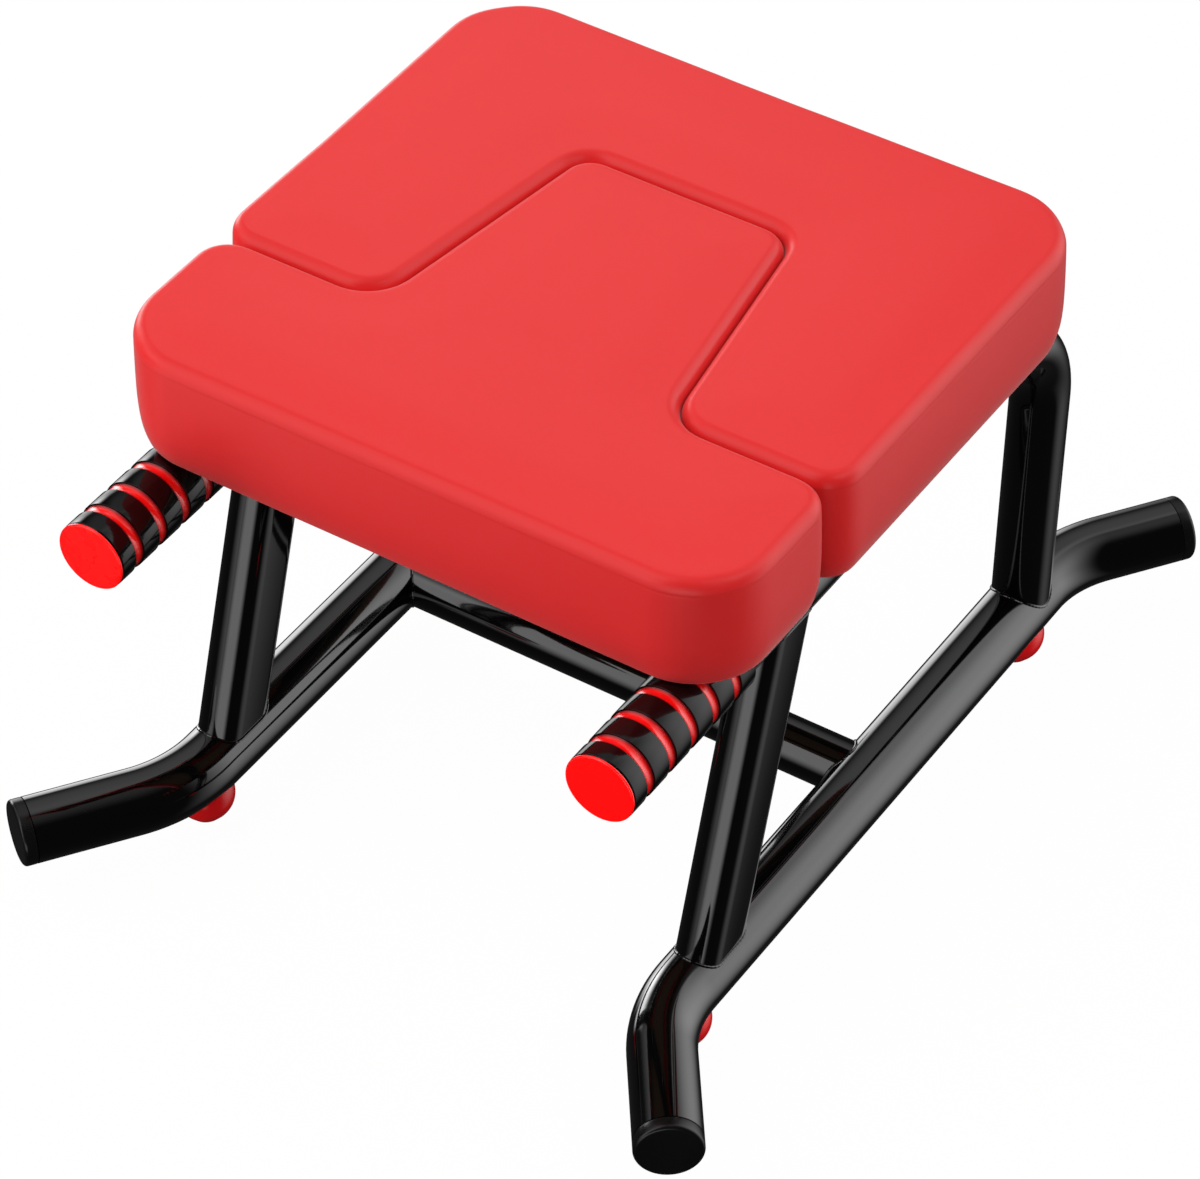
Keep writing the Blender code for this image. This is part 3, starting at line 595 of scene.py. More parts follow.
def bent_tube_tree():
    """A tube through the corners of a line, with a bend of one radius at each corner."""
    graph, wires = new_tree("bent_tube", Radius=("Float", 0.019), Bend_Radius=("Float", 0.085),
                            Bend_Steps=("Int", 14), Sides=("Int", 64))
    line = graph.geo("MeshToCurve", Mesh=wires["Geometry"])
    bent = graph.geo("FilletCurve", {"mode": "POLY"}, Curve=line, Radius=wires["Bend Radius"],
                     Count=wires["Bend Steps"])
    outline = graph.geo("CurvePrimitiveCircle", Radius=wires["Radius"], Resolution=wires["Sides"])
    tube = graph.geo("CurveToMesh", Curve=bent, Profile_Curve=outline, Fill_Caps=True)
    return close_tree(graph, tube, wires)


def bead_tree():
    """A weld bead along a closed line: a thin round bar that swells at each pass of the torch."""
    graph, wires = new_tree("weld_bead", Radius=("Float", 0.0012), Ripple=("Float", 0.05),
                            Pitch=("Float", 0.0024))
    line = graph.geo("MeshToCurve", Mesh=wires["Geometry"])
    even = graph.geo("ResampleCurve", {"mode": "LENGTH"}, Curve=line, Length=wires["Pitch"] / 4.0)
    along = graph.add("GeometryNodeSplineParameter", output="Length")
    swell = 1.0 + graph.maths("SINE", along * (2.0 * math.pi) / wires["Pitch"]) * wires["Ripple"]
    sized = graph.geo("SetCurveRadius", Curve=even, Radius=swell)
    outline = graph.geo("CurvePrimitiveCircle", Radius=wires["Radius"], Resolution=10)
    bead = graph.geo("CurveToMesh", Curve=sized, Profile_Curve=outline)
    sockets = bead.socket.node.inputs
    if "Scale" in sockets:
        graph.join(sockets["Scale"], swell)
    return close_tree(graph, bead, wires)


def row_tree():
    """Copies of a piece in a row along a direction."""
    graph, wires = new_tree("row_of_rings", Count=("Int", 5), Step=("Vector", (0.0, 0.02, 0.0)))
    points = graph.geo("MeshLine", Count=wires["Count"], Start_Location=(0.0, 0.0, 0.0), Offset=wires["Step"])
    return close_tree(graph, graph.geo("InstanceOnPoints", Points=points, Instance=wires["Geometry"]), wires)


def copies_tree(name, **sizes):
    """Copies of a chosen piece at the points of a mesh, or along a line where the tree has a Spacing."""
    graph, wires = new_tree(name, Piece=("Object", None), **sizes)
    copy = graph.add("GeometryNodeObjectInfo", None, {"Object": wires["Piece"]}, "Geometry")
    inputs = {"Points": wires["Geometry"], "Instance": copy}
    if "Spacing" in wires:
        line = graph.geo("MeshToCurve", Mesh=wires["Geometry"])
        inputs["Points"] = graph.geo("ResampleCurve", {"mode": "LENGTH"}, Curve=line, Length=wires["Spacing"])
        inputs["Rotation"] = graph.add("FunctionNodeAlignRotationToVector", {"axis": "X", "pivot_axis": "Z"},
                                       {"Vector": graph.geo("InputTangent")})
    return close_tree(graph, graph.geo("InstanceOnPoints", **inputs), wires)


# Tubes and where they meet
def weld_bead(tree, foot, direction, section, radius):
    """A bead where the sides of a tube leave a round tube that runs along Y through its foot."""
    across = Vector((direction.x, 0.0, direction.z))
    points = []
    for offset in section:
        flat = Vector((offset.x, 0.0, offset.z))
        a = across.dot(across)
        b = 2.0 * flat.dot(across)
        c = flat.dot(flat) - radius * radius
        far = (-b + math.sqrt(max(b * b - 4.0 * a * c, 0.0))) / (2.0 * a)
        points.append(foot + offset + direction * far)
    weld = bpy.context.scene.bench_frame.weld
    return grown(line_mesh(points, True), tree, "gloss_black_paint", Radius=weld)


def ring_section(direction, radius):
    """Outline of a round tube about its foot."""
    points = 48
    one = (BACKWARDS - direction * BACKWARDS.dot(direction)).normalized()
    two = direction.cross(one)
    return [(one * x + two * y) * radius for x, y in circle(points)]


def oval_section(length, thickness, steps=16):
    """Outline of flat-sided oval tube as (x, y), anticlockwise."""
    radius = thickness / 2
    straight = (length - thickness) / 2
    return [(x, end * straight + y) for end, start in ((1, 0), (-1, 180))
            for x, y in arc(0.0, 0.0, radius, start, start + 180, steps)]


def base_corners(sizes, side):
    """Corners of a base tube's line from front to rear, and the directions of its ends."""
    out, ahead = math.sin(sizes.splay), math.cos(sizes.splay)
    front = Vector((side * sizes.side_x, sizes.front_bend_y, sizes.base_z))
    rear = Vector((side * sizes.side_x, sizes.rear_bend_y, sizes.base_z))
    to_front = Vector((side * out, -ahead, 0.0))
    to_rear = Vector((side * out, ahead, 0.0))
    first = front + to_front * (sizes.front_end - sizes.end_cap)
    last = rear + to_rear * (sizes.rear_end - sizes.end_cap)
    return [first, front, rear, last], to_front, to_rear


# Frame
class BENCH_OT_base_tubes(bpy.types.Operator):
    """Base tubes with splayed ends and their plugs"""
    bl_idname = "bench.base_tubes"
    bl_label = "Base tubes"

    def execute(self, context):
        sizes = context.scene.bench_frame
        tree = bent_tube_tree()
        for side, word in SIDES:
            corners, to_front, to_rear = base_corners(sizes, side)
            tube = grown(line_mesh(corners), tree, "gloss_black_paint", Radius=sizes.base_radius,
                         Bend_Radius=sizes.base_bend, Bend_Steps=14, Sides=BASE_SIDES)
            settle(word + "_base_tube", tube, "gloss_black_paint", ["base_tube_" + word])
            for end, tip, outward in (("front", corners[0], to_front), ("rear", corners[-1], to_rear)):
                settle("%s_%s_plug" % (word, end), self.plug(sizes, tip, outward), "black_plastic",
                       ["base_cap_%s_%s" % (end, word)])
        return {"FINISHED"}

    def plug(self, sizes, tip, outward):
        """A plug with a softly rounded face and a fine groove against the tube."""
        radius, head, soft, depth = sizes.base_radius, sizes.end_cap, 0.0022, -0.012
        profile = [(0.0, depth), (radius - 0.0032, depth), (radius - 0.0028, -0.0006)]
        profile += [(radius - 0.0006, 0.0002), (radius - 0.0001, 0.0006), (radius, 0.0012)]
        profile += arc(radius - soft, head - soft, soft, 0, 90, 8)
        profile += [(radius * 0.6, head + 0.0001), (0.0, head + 0.0001)]
        return turned(profile, BASE_SIDES, tip, outward)


class BENCH_OT_feet(bpy.types.Operator):
    """Domed rubber feet and the screws that hold them"""
    bl_idname = "bench.feet"
    bl_label = "Feet"

    def execute(self, context):
        for _, word in SIDES:
            for end in ENDS:
                foot, screw = "foot_%s_%s" % (end, word), "foot_screw_%s_%s" % (end, word)
                name = "%s_%s_foot" % (word, end)
                spot = Vector((*middle(foot).xy, 0.0))
                settle(name, self.foot(spot), "red_rubber", [foot])
                settle(name + "_screw", self.screw(spot, *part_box(screw)), "zinc_steel", [screw])
        return {"FINISHED"}

    def foot(self, spot):
        """A dome that stands on a flat ring, with a well for the screw head."""
        reach, sole, top = 0.017, 0.0095, 0.015
        profile = [(0.0031, 0.0056), (0.0059, 0.0055), (0.0059, 0.0006), (0.0065, 0.0), (sole, 0.0)]
        profile += [point for point in arc(0.0, top, reach, -54, 34, 26) if point[1] > 0.0006]
        profile += [(0.0060, top + 0.0098), (0.0031, top + 0.0098), (0.0031, 0.0056)]
        return turned(profile, TUBE_SIDES, spot)

    def screw(self, spot, low, high):
        """A pan head with a cross recess drawn as a shallow dish."""
        head, shank, soft = 0.0056, 0.0028, 0.0016
        under = low.z + 0.0035
        profile = [(0.0, low.z + 0.0011), (0.0014, low.z + 0.0010), (0.0018, low.z), (0.0034, low.z)]
        profile += arc(head - soft, low.z + 0.0018, soft, -70, 0, 5)
        profile += [(head, under), (shank, under), (shank, high.z), (0.0, high.z)]
        return turned(profile, FIXING_SIDES, spot)


class BENCH_OT_side_rails(bpy.types.Operator):
    """Rear leg, bend and rail of each side, in one tube"""
    bl_idname = "bench.side_rails"
    bl_label = "Side rails"

    def execute(self, context):
        sizes, grip = context.scene.bench_frame, context.scene.bench_grips
        behind_cap = 0.0014
        tree, bead = bent_tube_tree(), bead_tree()
        for side, word in SIDES:
            x = side * sizes.side_x
            foot = Vector((x, sizes.rear_foot_y, sizes.base_z))
            top = Vector((x, sizes.rear_top_y, sizes.rail_z))
            tip = Vector((x, grip.end_y + grip.cap + behind_cap, sizes.rail_z))
            tube = grown(line_mesh([foot, top, tip]), tree, "gloss_black_paint", Radius=sizes.rail_radius,
                         Bend_Radius=sizes.rail_bend, Bend_Steps=22, Sides=TUBE_SIDES)
            rise = (top - foot).normalized()
            seam = weld_bead(bead, foot, rise, ring_section(rise, sizes.rail_radius), sizes.base_radius)
            settle(word + "_side_rail", joined(tube, seam), "gloss_black_paint", ["side_rail_" + word])
        return {"FINISHED"}


class BENCH_OT_front_legs(bpy.types.Operator):
    """Flat-sided oval legs between the base tubes and the rails"""
    bl_idname = "bench.front_legs"
    bl_label = "Front legs"

    def execute(self, context):
        sizes = context.scene.bench_frame
        bead = bead_tree()
        aside = Vector((1.0, 0.0, 0.0))
        for side, word in SIDES:
            foot = Vector((side * sizes.side_x, sizes.leg_foot_y, sizes.base_z))
            top = Vector((side * sizes.side_x, sizes.leg_top_y, sizes.rail_z))
            rise = (top - foot).normalized()
            deep = rise.cross(aside)
            section = [aside * x + deep * y for x, y in oval_section(sizes.leg_length, sizes.leg_thickness)]
            at_foot = weld_bead(bead, foot, rise, section, sizes.base_radius)
            at_top = weld_bead(bead, top, -rise, section, sizes.rail_radius)
            leg = joined(self.tube(section, foot, top), at_foot, at_top)
            settle(word + "_front_leg", leg, "gloss_black_paint", ["front_leg_" + word])
        return {"FINISHED"}

    def tube(self, section, foot, top):
        """A closed tube of the section from the foot to the top."""
        bm = bmesh.new()
        steps = 12
        places = [foot.lerp(top, step / steps) for step in range(steps + 1)]
        rings = [[bm.verts.new(place + offset) for offset in section] for place in places]
        bridge(bm, rings)
        bm.faces.new(rings[0])
        bm.faces.new(rings[-1])
        bmesh.ops.recalc_face_normals(bm, faces=bm.faces)
        return mesh_of(bm, "leg")


class BENCH_OT_cross_tube(bpy.types.Operator):
    """Cross tube between the base tubes"""
    bl_idname = "bench.cross_tube"
    bl_label = "Cross tube"

    def execute(self, context):
        sizes = context.scene.bench_frame
        half = sizes.side_x - sizes.base_radius / 2
        ends = [Vector((side * half, sizes.cross_y, sizes.base_z)) for side, _ in SIDES]
        meshes = [grown(line_mesh(ends), bent_tube_tree(), "gloss_black_paint", Radius=sizes.cross_radius,
                        Bend_Radius=0.0, Bend_Steps=1, Sides=TUBE_SIDES)]
        bead = bead_tree()
        for side, _ in SIDES:
            end = Vector((side * sizes.side_x, sizes.cross_y, sizes.base_z))
            inward = Vector((-side, 0.0, 0.0))
            section = ring_section(inward, sizes.cross_radius)
            meshes.append(weld_bead(bead, end, inward, section, sizes.base_radius))
        settle("cross_member", joined(*meshes), "gloss_black_paint", ["cross_tube"])
        return {"FINISHED"}


# Hand grips
class BENCH_OT_grips(bpy.types.Operator):
    """Black sleeves with red rings and red end caps"""
    bl_idname = "bench.grips"
    bl_label = "Hand grips"

    def execute(self, context):
        sizes, grip = context.scene.bench_frame, context.scene.bench_grips
        sharp, ring_merge = 24.0, 0.000001
        rows = row_tree()
        for side, word in SIDES:
            front = Vector((side * sizes.side_x, grip.end_y, sizes.rail_z))
            sleeve = turned(self.sleeve(grip, sizes.rail_radius), GRIP_SIDES, front, BACKWARDS)
            settle(word + "_grip_sleeve", sleeve, "black_grip_rubber", ["grip_sleeve_" + word], sharp=sharp)
            rings = grown(turned(self.ring(grip), GRIP_SIDES, front, BACKWARDS), rows, "red_grip_rubber",
                          Count=grip.rings, Step=(0.0, grip.pitch, 0.0))
            settle(word + "_grip_rings", weld_points(rings, ring_merge), "red_grip_rubber",
                   ["grip_ring_%d_%s" % (i + 1, word) for i in range(grip.rings)])
            cap = turned(self.cap(grip), GRIP_SIDES, front, BACKWARDS)
            settle(word + "_grip_cap", cap, "red_grip_rubber", ["grip_cap_" + word], sharp=sharp,
                   finish="red_grip_cap")
        return {"FINISHED"}

    def sleeve(self, grip, rail_radius):
        """The sleeve has a groove for each ring and closes round the rail behind the last one."""
        radius, bore, lip, soft = grip.radius, rail_radius + 0.0002, 0.00025, 0.0013
        start = grip.cap + 0.0002
        profile = [(bore, start), (radius - 0.0015, start)]
        profile += arc(radius - soft, start + soft, soft, -75, 0, 5)
        for i in range(grip.rings):
            centre = grip.first_ring + grip.pitch * i
            ahead, behind = centre - grip.ring_width / 2, centre + grip.ring_width / 2
            profile += arc(radius - lip, ahead - lip, lip, 0, 90, 4)
            profile += [(radius - grip.groove, ahead), (radius - grip.groove, behind)]
            profile += arc(radius - lip, behind + lip, lip, -90, 0, 4)
        end = grip.first_ring + grip.pitch * grip.rings - grip.ring_width / 2
        profile += arc(radius - lip, end - lip, lip, 0, 90, 4)
        return profile + [(bore, end), (bore, start)]

    def ring(self, grip):
        """A ring that is hollowed between its edges and lies a little under the sleeve."""
        slack, steps = 0.0001, 12
        half = grip.ring_width / 2 - slack
        centre, edge = grip.first_ring, grip.radius - grip.sunk
        inside = grip.radius - grip.groove + slack
        profile = [(inside, centre - half), (edge - slack, centre - half)]
        for step in range(steps + 1):
            share = 2.0 * step / steps - 1.0
            profile.append((edge - grip.dish * (1.0 - share * share), centre + (half - slack) * share))
        return profile + [(edge - slack, centre + half), (inside, centre + half), (inside, centre - half)]

    def cap(self, grip):
        """A thin disc with a soft rim over a plug that reaches into the rail."""
        radius, thick, soft, plug = grip.radius - 0.0001, grip.cap, 0.0009, 0.0143
        end = thick + 0.0124
        profile = [(0.0, 0.0), (radius - soft - 0.0010, 0.0)]
        profile += arc(radius - soft, soft, soft, -90, 0, 6)
        return profile + [(radius, thick), (plug, thick), (plug - 0.0003, end), (0.0, end)]


# Bars and fixings under the seat
def rounded_plate(node, holes, edge, corner=0.006):
    """A flat bar in a node's place, with rounded corners, softened edges and holes of (x, y, radius)."""
    low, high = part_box(node)
    curve = bpy.data.curves.new(node, "CURVE")
    curve.dimensions = "2D"
    curve.fill_mode = "BOTH"
    curve.extrude = (high.z - low.z) / 2 - edge
    curve.bevel_depth = edge
    curve.bevel_resolution = 2
    curve.offset = -edge
    hole_sides, corner_steps = 32, 8
    loops = [[(x + radius * across, y + radius * along) for across, along in circle(hole_sides)]
             for x, y, radius in holes]
    loops.append([])
    for i, (x, y) in enumerate(((low.x, low.y), (high.x, low.y), (high.x, high.y), (low.x, high.y))):
        inner_x = x + (corner if i in (0, 3) else -corner)
        inner_y = y + (corner if i in (0, 1) else -corner)
        loops[-1] += arc(inner_x, inner_y, corner, 180 + 90 * i, 270 + 90 * i, corner_steps)
    for loop in reversed(loops):
        spline = curve.splines.new("POLY")
        spline.points.add(len(loop) - 1)
        for point, (x, y) in zip(spline.points, loop):
            point.co = (x, y, 0.0, 1.0)
        spline.use_cyclic_u = True
    bar = linked(node, curve)
    bar.location.z = (low.z + high.z) / 2
    return weld_points(baked(bar))


class BENCH_OT_bars(bpy.types.Operator):
    """Flat crossbars and arm plates on the rails"""
    bl_idname = "bench.bars"
    bl_label = "Bars and plates"

    def execute(self, context):
        edge = context.scene.bench_frame.bar_edge
        for_bush, for_bolt = 0.0065, 0.0046
        holes = {"front_crossbar": [], "middle_crossbar": [], "rear_crossbar": []}
        for _, word in SIDES:
            holes["arm_plate_" + word] = []
            for bar, thing, radius in (("front_crossbar", "dowel_bush_", for_bush),
                                       ("rear_crossbar", "pad_bolt_rear_", for_bolt),
                                       ("arm_plate_" + word, "pad_bolt_arm_", for_bolt)):
                spot = middle(thing + word)
                holes[bar].append((spot.x, spot.y, radius))
        for node, found in holes.items():
            settle("flat_" + node, rounded_plate(node, found, edge), "black_bar_paint", [node], sharp=50.0)
        return {"FINISHED"}


class BENCH_OT_fixings(bpy.types.Operator):
    """Pad bolts, flanged nuts, dowels and bushes"""
    bl_idname = "bench.fixings"
    bl_label = "Fixings"

    def execute(self, context):
        tree = copies_tree("pieces_at_points")
        for name, stems, maker, slot, body in (
                ("pad_bolts", ("pad_bolt_arm_", "pad_bolt_rear_"), self.bolt, "zinc_steel", "frame"),
                ("pad_nuts", ("pad_nut_arm_", "pad_nut_rear_"), self.nut, "zinc_steel", "frame"),
                ("locating_dowels", ("pad_dowel_",), self.dowel, "zinc_steel", "t_pad"),
                ("locating_bushes", ("dowel_bush_",), self.bush, "black_plastic", "frame")):
            nodes = [stem + word for stem in stems for _, word in SIDES]
            low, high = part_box(nodes[0])
            pattern = linked(name + "_pattern", maker(low.z, high.z))
            places = [Vector((*middle(node).xy, 0.0)) for node in nodes]
            pieces = grown(line_mesh(places), tree, slot, Piece=pattern)
            bpy.data.objects.remove(pattern, do_unlink=True)
            settle(name, pieces, slot, nodes, body)
        return {"FINISHED"}

    def bolt(self, low, high):
        """A hexagon bolt, head down, with a chamfered head and fine rings in place of the thread."""
        across, head_high, head_sides, shank_sides = 0.0075, low + 0.0050, 48, 32
        bm = bmesh.new()
        bmesh.ops.create_cone(bm, cap_ends=True, segments=6, radius1=across, radius2=across,
                              depth=head_high - low)
        bmesh.ops.translate(bm, verts=bm.verts, vec=(0.0, 0.0, (low + head_high) / 2))
        hexagon = linked("hexagon", mesh_of(bm, "hexagon"))
        bevel = hexagon.modifiers.new("edges", "BEVEL")
        bevel.width = 0.0002
        bevel.segments = 2
        dish = linked("dish", turned([(0.0, low), (0.0062, low), (0.0077, low + 0.0009), (0.0078, head_high),
                                      (0.0, head_high)], head_sides))
        both = hexagon.modifiers.new("chamfer", "BOOLEAN")
        both.operation = "INTERSECT"
        both.solver = "EXACT"
        both.object = dish
        head = baked(hexagon)
        bpy.data.objects.remove(dish, do_unlink=True)
        radius, pitch, depth, start = 0.0040, 0.00125, 0.0004, head_high - 0.0005
        profile = [(0.0, start), (radius, start)]
        for i in range(int((high - start - 0.003) / pitch)):
            base = start + 0.002 + i * pitch
            profile += [(radius, base), (radius - depth, base + pitch / 2)]
        profile += [(radius, high - 0.0008), (radius - 0.0008, high), (0.0, high)]
        return joined(head, turned(profile, shank_sides))

    def nut(self, low, high):
        """A flanged barrel nut, its flange on top."""
        flange, barrel, bore = 0.0105, 0.0056, 0.0043
        profile = [(bore, low), (barrel - 0.0004, low), (barrel, low + 0.0004), (barrel, high - 0.0015)]
        profile += [(flange - 0.0003, high - 0.0015), (flange, high - 0.0010), (flange - 0.0004, high)]
        profile += [(bore, high), (bore, low)]
        return turned(profile, FIXING_SIDES)

    def dowel(self, low, high):
        """A dowel with a tapered nose."""
        return turned([(0.0, low), (0.0016, low), (0.0025, low + 0.0004), (0.0039, low + 0.0030),
                       (0.0040, low + 0.0036), (0.0040, high), (0.0, high)], FIXING_SIDES)

    def bush(self, low, high):
        """A bush with a flange under the bar."""
        bore, barrel, flange = 0.0045, 0.0062, 0.0095
        under = high - 0.0033
        profile = [(bore, low + 0.0004), (bore + 0.0005, low), (barrel - 0.0004, low), (barrel, low + 0.0004)]
        profile += [(barrel, under - 0.0015), (flange - 0.0004, under - 0.0015), (flange, under - 0.0011)]
        profile += [(flange, under - 0.0001), (barrel, under), (barrel, high - 0.0003)]
        profile += [(barrel - 0.0003, high), (bore, high), (bore, low + 0.0004)]
        return turned(profile, FIXING_SIDES)


# Seat pads
def seam_corners(seat, parting):
    """Right half of the line between the pads, moved towards the rear pad, as (x, y, radius)."""
    taper = math.atan2(seat.neck_front - seat.neck_rear, seat.neck_y - seat.split_y)
    aside = parting / math.cos(taper) - parting * math.tan(taper)
    return [(seat.width / 2, seat.split_y + parting, seat.split_corner),
            (seat.neck_front + aside, seat.split_y + parting, seat.neck_front_corner),
            (seat.neck_rear + aside, seat.neck_y + parting, seat.neck_rear_corner)]


def mirrored(corners):
    """The same corners on the other side, in the opposite order."""
    return [(-x, y, radius) for x, y, radius in reversed(corners)]


def pads(seat):
    """For each pad: the names of its cushion and its nodes, its corners round the outline and its body."""
    seam = list(reversed(seam_corners(seat, seat.parting)))
    rear = [(seat.width / 2, seat.rear_y, seat.corner)]
    front = [(seat.width / 2, seat.front_y, seat.corner)] + seam_corners(seat, -seat.parting)
    front = [(min(x, seat.width / 2 - seat.front_trim), y, radius) for x, y, radius in front]
    return (("shoulder_cushion", "u_pad", rear + mirrored(rear) + mirrored(seam) + seam, "frame"),
            ("filler_cushion", "t_pad", mirrored(front[:1]) + front + mirrored(front[1:]), "t_pad"))


def outline_points(corners, spacing):
    """Points round an outline, each (place, inward direction), evenly spread over corners and straights."""
    count = len(corners)
    sharp = [Vector((x, y)) for x, y, _ in corners]
    along = [(sharp[(i + 1) % count] - sharp[i]).normalized() for i in range(count)]
    arcs = []
    for i in range(count):
        before, after = along[i - 1], along[i]
        left = before.x * after.y - before.y * after.x > 0
        half_turn = before.angle(after) / 2
        radius = corners[i][2]
        side = Vector((-before.y, before.x)) * (1 if left else -1)
        centre = sharp[i] - before * radius * math.tan(half_turn) + side * radius
        steps = max(6, round(2 * half_turn * radius / (spacing * 0.75)))
        arcs.append([])
        for step in range(steps + 1):
            angle = 2 * half_turn * step / steps
            outward = before * math.sin(angle) - side * math.cos(angle)
            arcs[i].append((centre + outward * radius, -outward if left else outward.copy()))
    points = []
    for i in range(count):
        points += arcs[i]
        start, end = arcs[i][-1][0], arcs[(i + 1) % count][0][0]
        inward = Vector((-along[i].y, along[i].x))
        steps = max(1, round((end - start).length / spacing))
        points += [(start.lerp(end, step / steps), inward) for step in range(1, steps)]
    return points


def seam_share(seat, place):
    """0 on the seat's outer edges, 1 along the line between the pads."""
    blend = 0.016
    edge = min(seat.width / 2 - abs(place.x), place.y - seat.front_y, seat.rear_y - place.y)
    return max(0.0, min(1.0, (edge - seat.front_trim) / blend))


SIDE_HEIGHTS = (0.0, 0.0005, 0.0011, 0.0018, 0.004, 0.008, 0.013, 0.019, 0.026, 0.033, 0.040, 0.047, 0.054)
SEWN_LINE = ((0.0060, 0.0), (0.0034, 0.0), (0.0020, 0.1), (0.0012, 0.4), (0.0006, 0.8), (0.0, 1.0))


def side_inset(seat, height, share):
    """How far the side draws in at a height over the underside."""
    drawn_in, roll = seat.thickness * 0.42, 0.0016
    inset = -seat.bulge * (1.0 - share) * math.sin(math.pi * min(1.0, height / seat.thickness) ** 0.8)
    if height < drawn_in:
        inset += seat.undercut * (1.0 - height / drawn_in) ** 3
    if height < roll:
        inset += roll - math.sqrt(max(0.0, roll * roll - (roll - height) ** 2))
    return inset


def pad_section(seat, share, hollow):
    """Section of a pad from its underside to the top, as (inset, height). A share of 1 is at the split."""
    wide = seat.outer_edge + (seat.seam_edge - seat.outer_edge) * share
    drop = seat.outer_drop + (seat.seam_drop - seat.outer_drop) * share
    crease = seat.thickness - drop
    groove = seat.groove * (1.0 - 0.8 * share)
    wall, lip, hem, sole = 0.0013, 0.0012, 0.0160, seat.undercut + 0.0045
    points = []
    if hollow > 0.0:
        points += [(side_inset(seat, hollow, share) + wall, hollow),
                   (side_inset(seat, lip, share) + wall + 0.0002, lip), (hem, lip), (hem, 0.0001)]
    points.append((sole, 0.0))
    for height in SIDE_HEIGHTS:
        points.append((side_inset(seat, height, share), height))
    for below, depth in SEWN_LINE:
        points.append((side_inset(seat, crease - below, share) + groove * depth, crease - below))
    side, first, step_up, steps = side_inset(seat, crease, share), 0.12 + 0.12 * share, 0.0006, 12
    power = 2.0 / (2.4 - 0.4 * share)
    low_in, low_up = 1.0 - math.cos(first) ** power, math.sin(first) ** power
    for step in range(steps + 1):
        turn = first + (math.pi / 2 - first) * step / steps
        aside = (1.0 - max(0.0, math.cos(turn)) ** power - low_in) / (1.0 - low_in)
        up = (math.sin(turn) ** power - low_up) / (1.0 - low_up)
        points.append((side + (wide - side) * aside, crease + step_up + (drop - step_up) * up))
    return points


def distance_to(outline, place):
    """Distance of a place from an outline of points."""
    best = 1.0
    for a, b in zip(outline, outline[1:] + outline[:1]):
        along = b - a
        share = max(0.0, min(1.0, (place - a).dot(along) / max(along.length_squared, 1e-12)))
        best = min(best, (place - a - along * share).length)
    return best


def inside(outline, spot):
    """Whether a spot lies inside an outline of points."""
    found = False
    for a, b in zip(outline, outline[1:] + outline[:1]):
        if (a.y > spot.y) != (b.y > spot.y) and spot.x < (b.x - a.x) * (spot.y - a.y) / (b.y - a.y) + a.x:
            found = not found
    return found


def crown_rise(seat, depth):
    """Rise of the top at a distance from the edge."""
    reach = 0.036
    share = max(0.0, min(1.0, (depth - seat.outer_edge) / reach))
    return seat.crown * share * share * (3.0 - 2.0 * share)


def fill_flat(bm, seat, outline, ring, level, crowned):
    """Fills the space inside a ring: flat, or crowned over a grid of points."""
    edge = [vert.co.xy for vert in ring]
    spots = list(edge)
    step = seat.grid
    least = step * 0.6
    if crowned:
        low_x, high_x = min(p.x for p in edge), max(p.x for p in edge)
        for column in range(int(-seat.width / 2 / step), int(seat.width / 2 / step) + 1):
            for row in range(int(seat.front_y / step), int(seat.rear_y / step) + 1):
                spot = Vector((column * step, row * step))
                if low_x < spot.x < high_x and inside(edge, spot) and distance_to(edge, spot) > least:
                    spots.append(spot)
    count = len(edge)
    border = [(i, (i + 1) % count) for i in range(count)]
    inner_only, tolerance = 1, 1e-7
    flat, _, faces, where, _, _ = geometry.delaunay_2d_cdt(spots, border, [], inner_only, tolerance)
    verts = []
    for place, sources in zip(flat, where):
        if sources and sources[0] < count:
            verts.append(ring[sources[0]])
        else:
            rise = crown_rise(seat, distance_to(outline, place)) if crowned else 0.0
            verts.append(bm.verts.new((place.x, place.y, level + rise)))
    for face in faces:
        if len(set(face)) > 2:
            bm.faces.new([verts[i] for i in face])


def cushion_mesh(seat, corners, bottom, hollow):
    """One pad as a closed form: top, rolled and sewn edge, sides, hem and the hollow for the board."""
    points = outline_points(corners, seat.grid)
    outline = [place for place, _ in points]
    sections = [pad_section(seat, seam_share(seat, place), hollow) for place in outline]
    past_edge = 0.0045
    rim, top = seat.outer_edge + past_edge, bottom + seat.thickness
    bm = bmesh.new()
    rings = []
    for level in zip(*sections):
        rings.append([bm.verts.new((*(place + inward * inset), bottom + height))
                      for (place, inward), (inset, height) in zip(points, level)])
    rings.append([bm.verts.new((*(place + inward * rim), top + crown_rise(seat, rim)))
                  for place, inward in points])
    bridge(bm, rings)
    fill_flat(bm, seat, outline, rings[-1], top, True)
    fill_flat(bm, seat, outline, rings[0], bottom + hollow, False)
    bmesh.ops.recalc_face_normals(bm, faces=bm.faces)
    return mesh_of(bm, "cushion")


CLOTH = {"quality": 6, "mass": 0.3, "tension_stiffness": 30.0, "compression_stiffness": 30.0,
         "shear_stiffness": 10.0, "bending_stiffness": 2.0, "use_pressure": True,
         "uniform_pressure_force": 4.0, "vertex_group_mass": "held"}
CLOTH_FRAMES = 20
CLOTH_HELD = 0.012


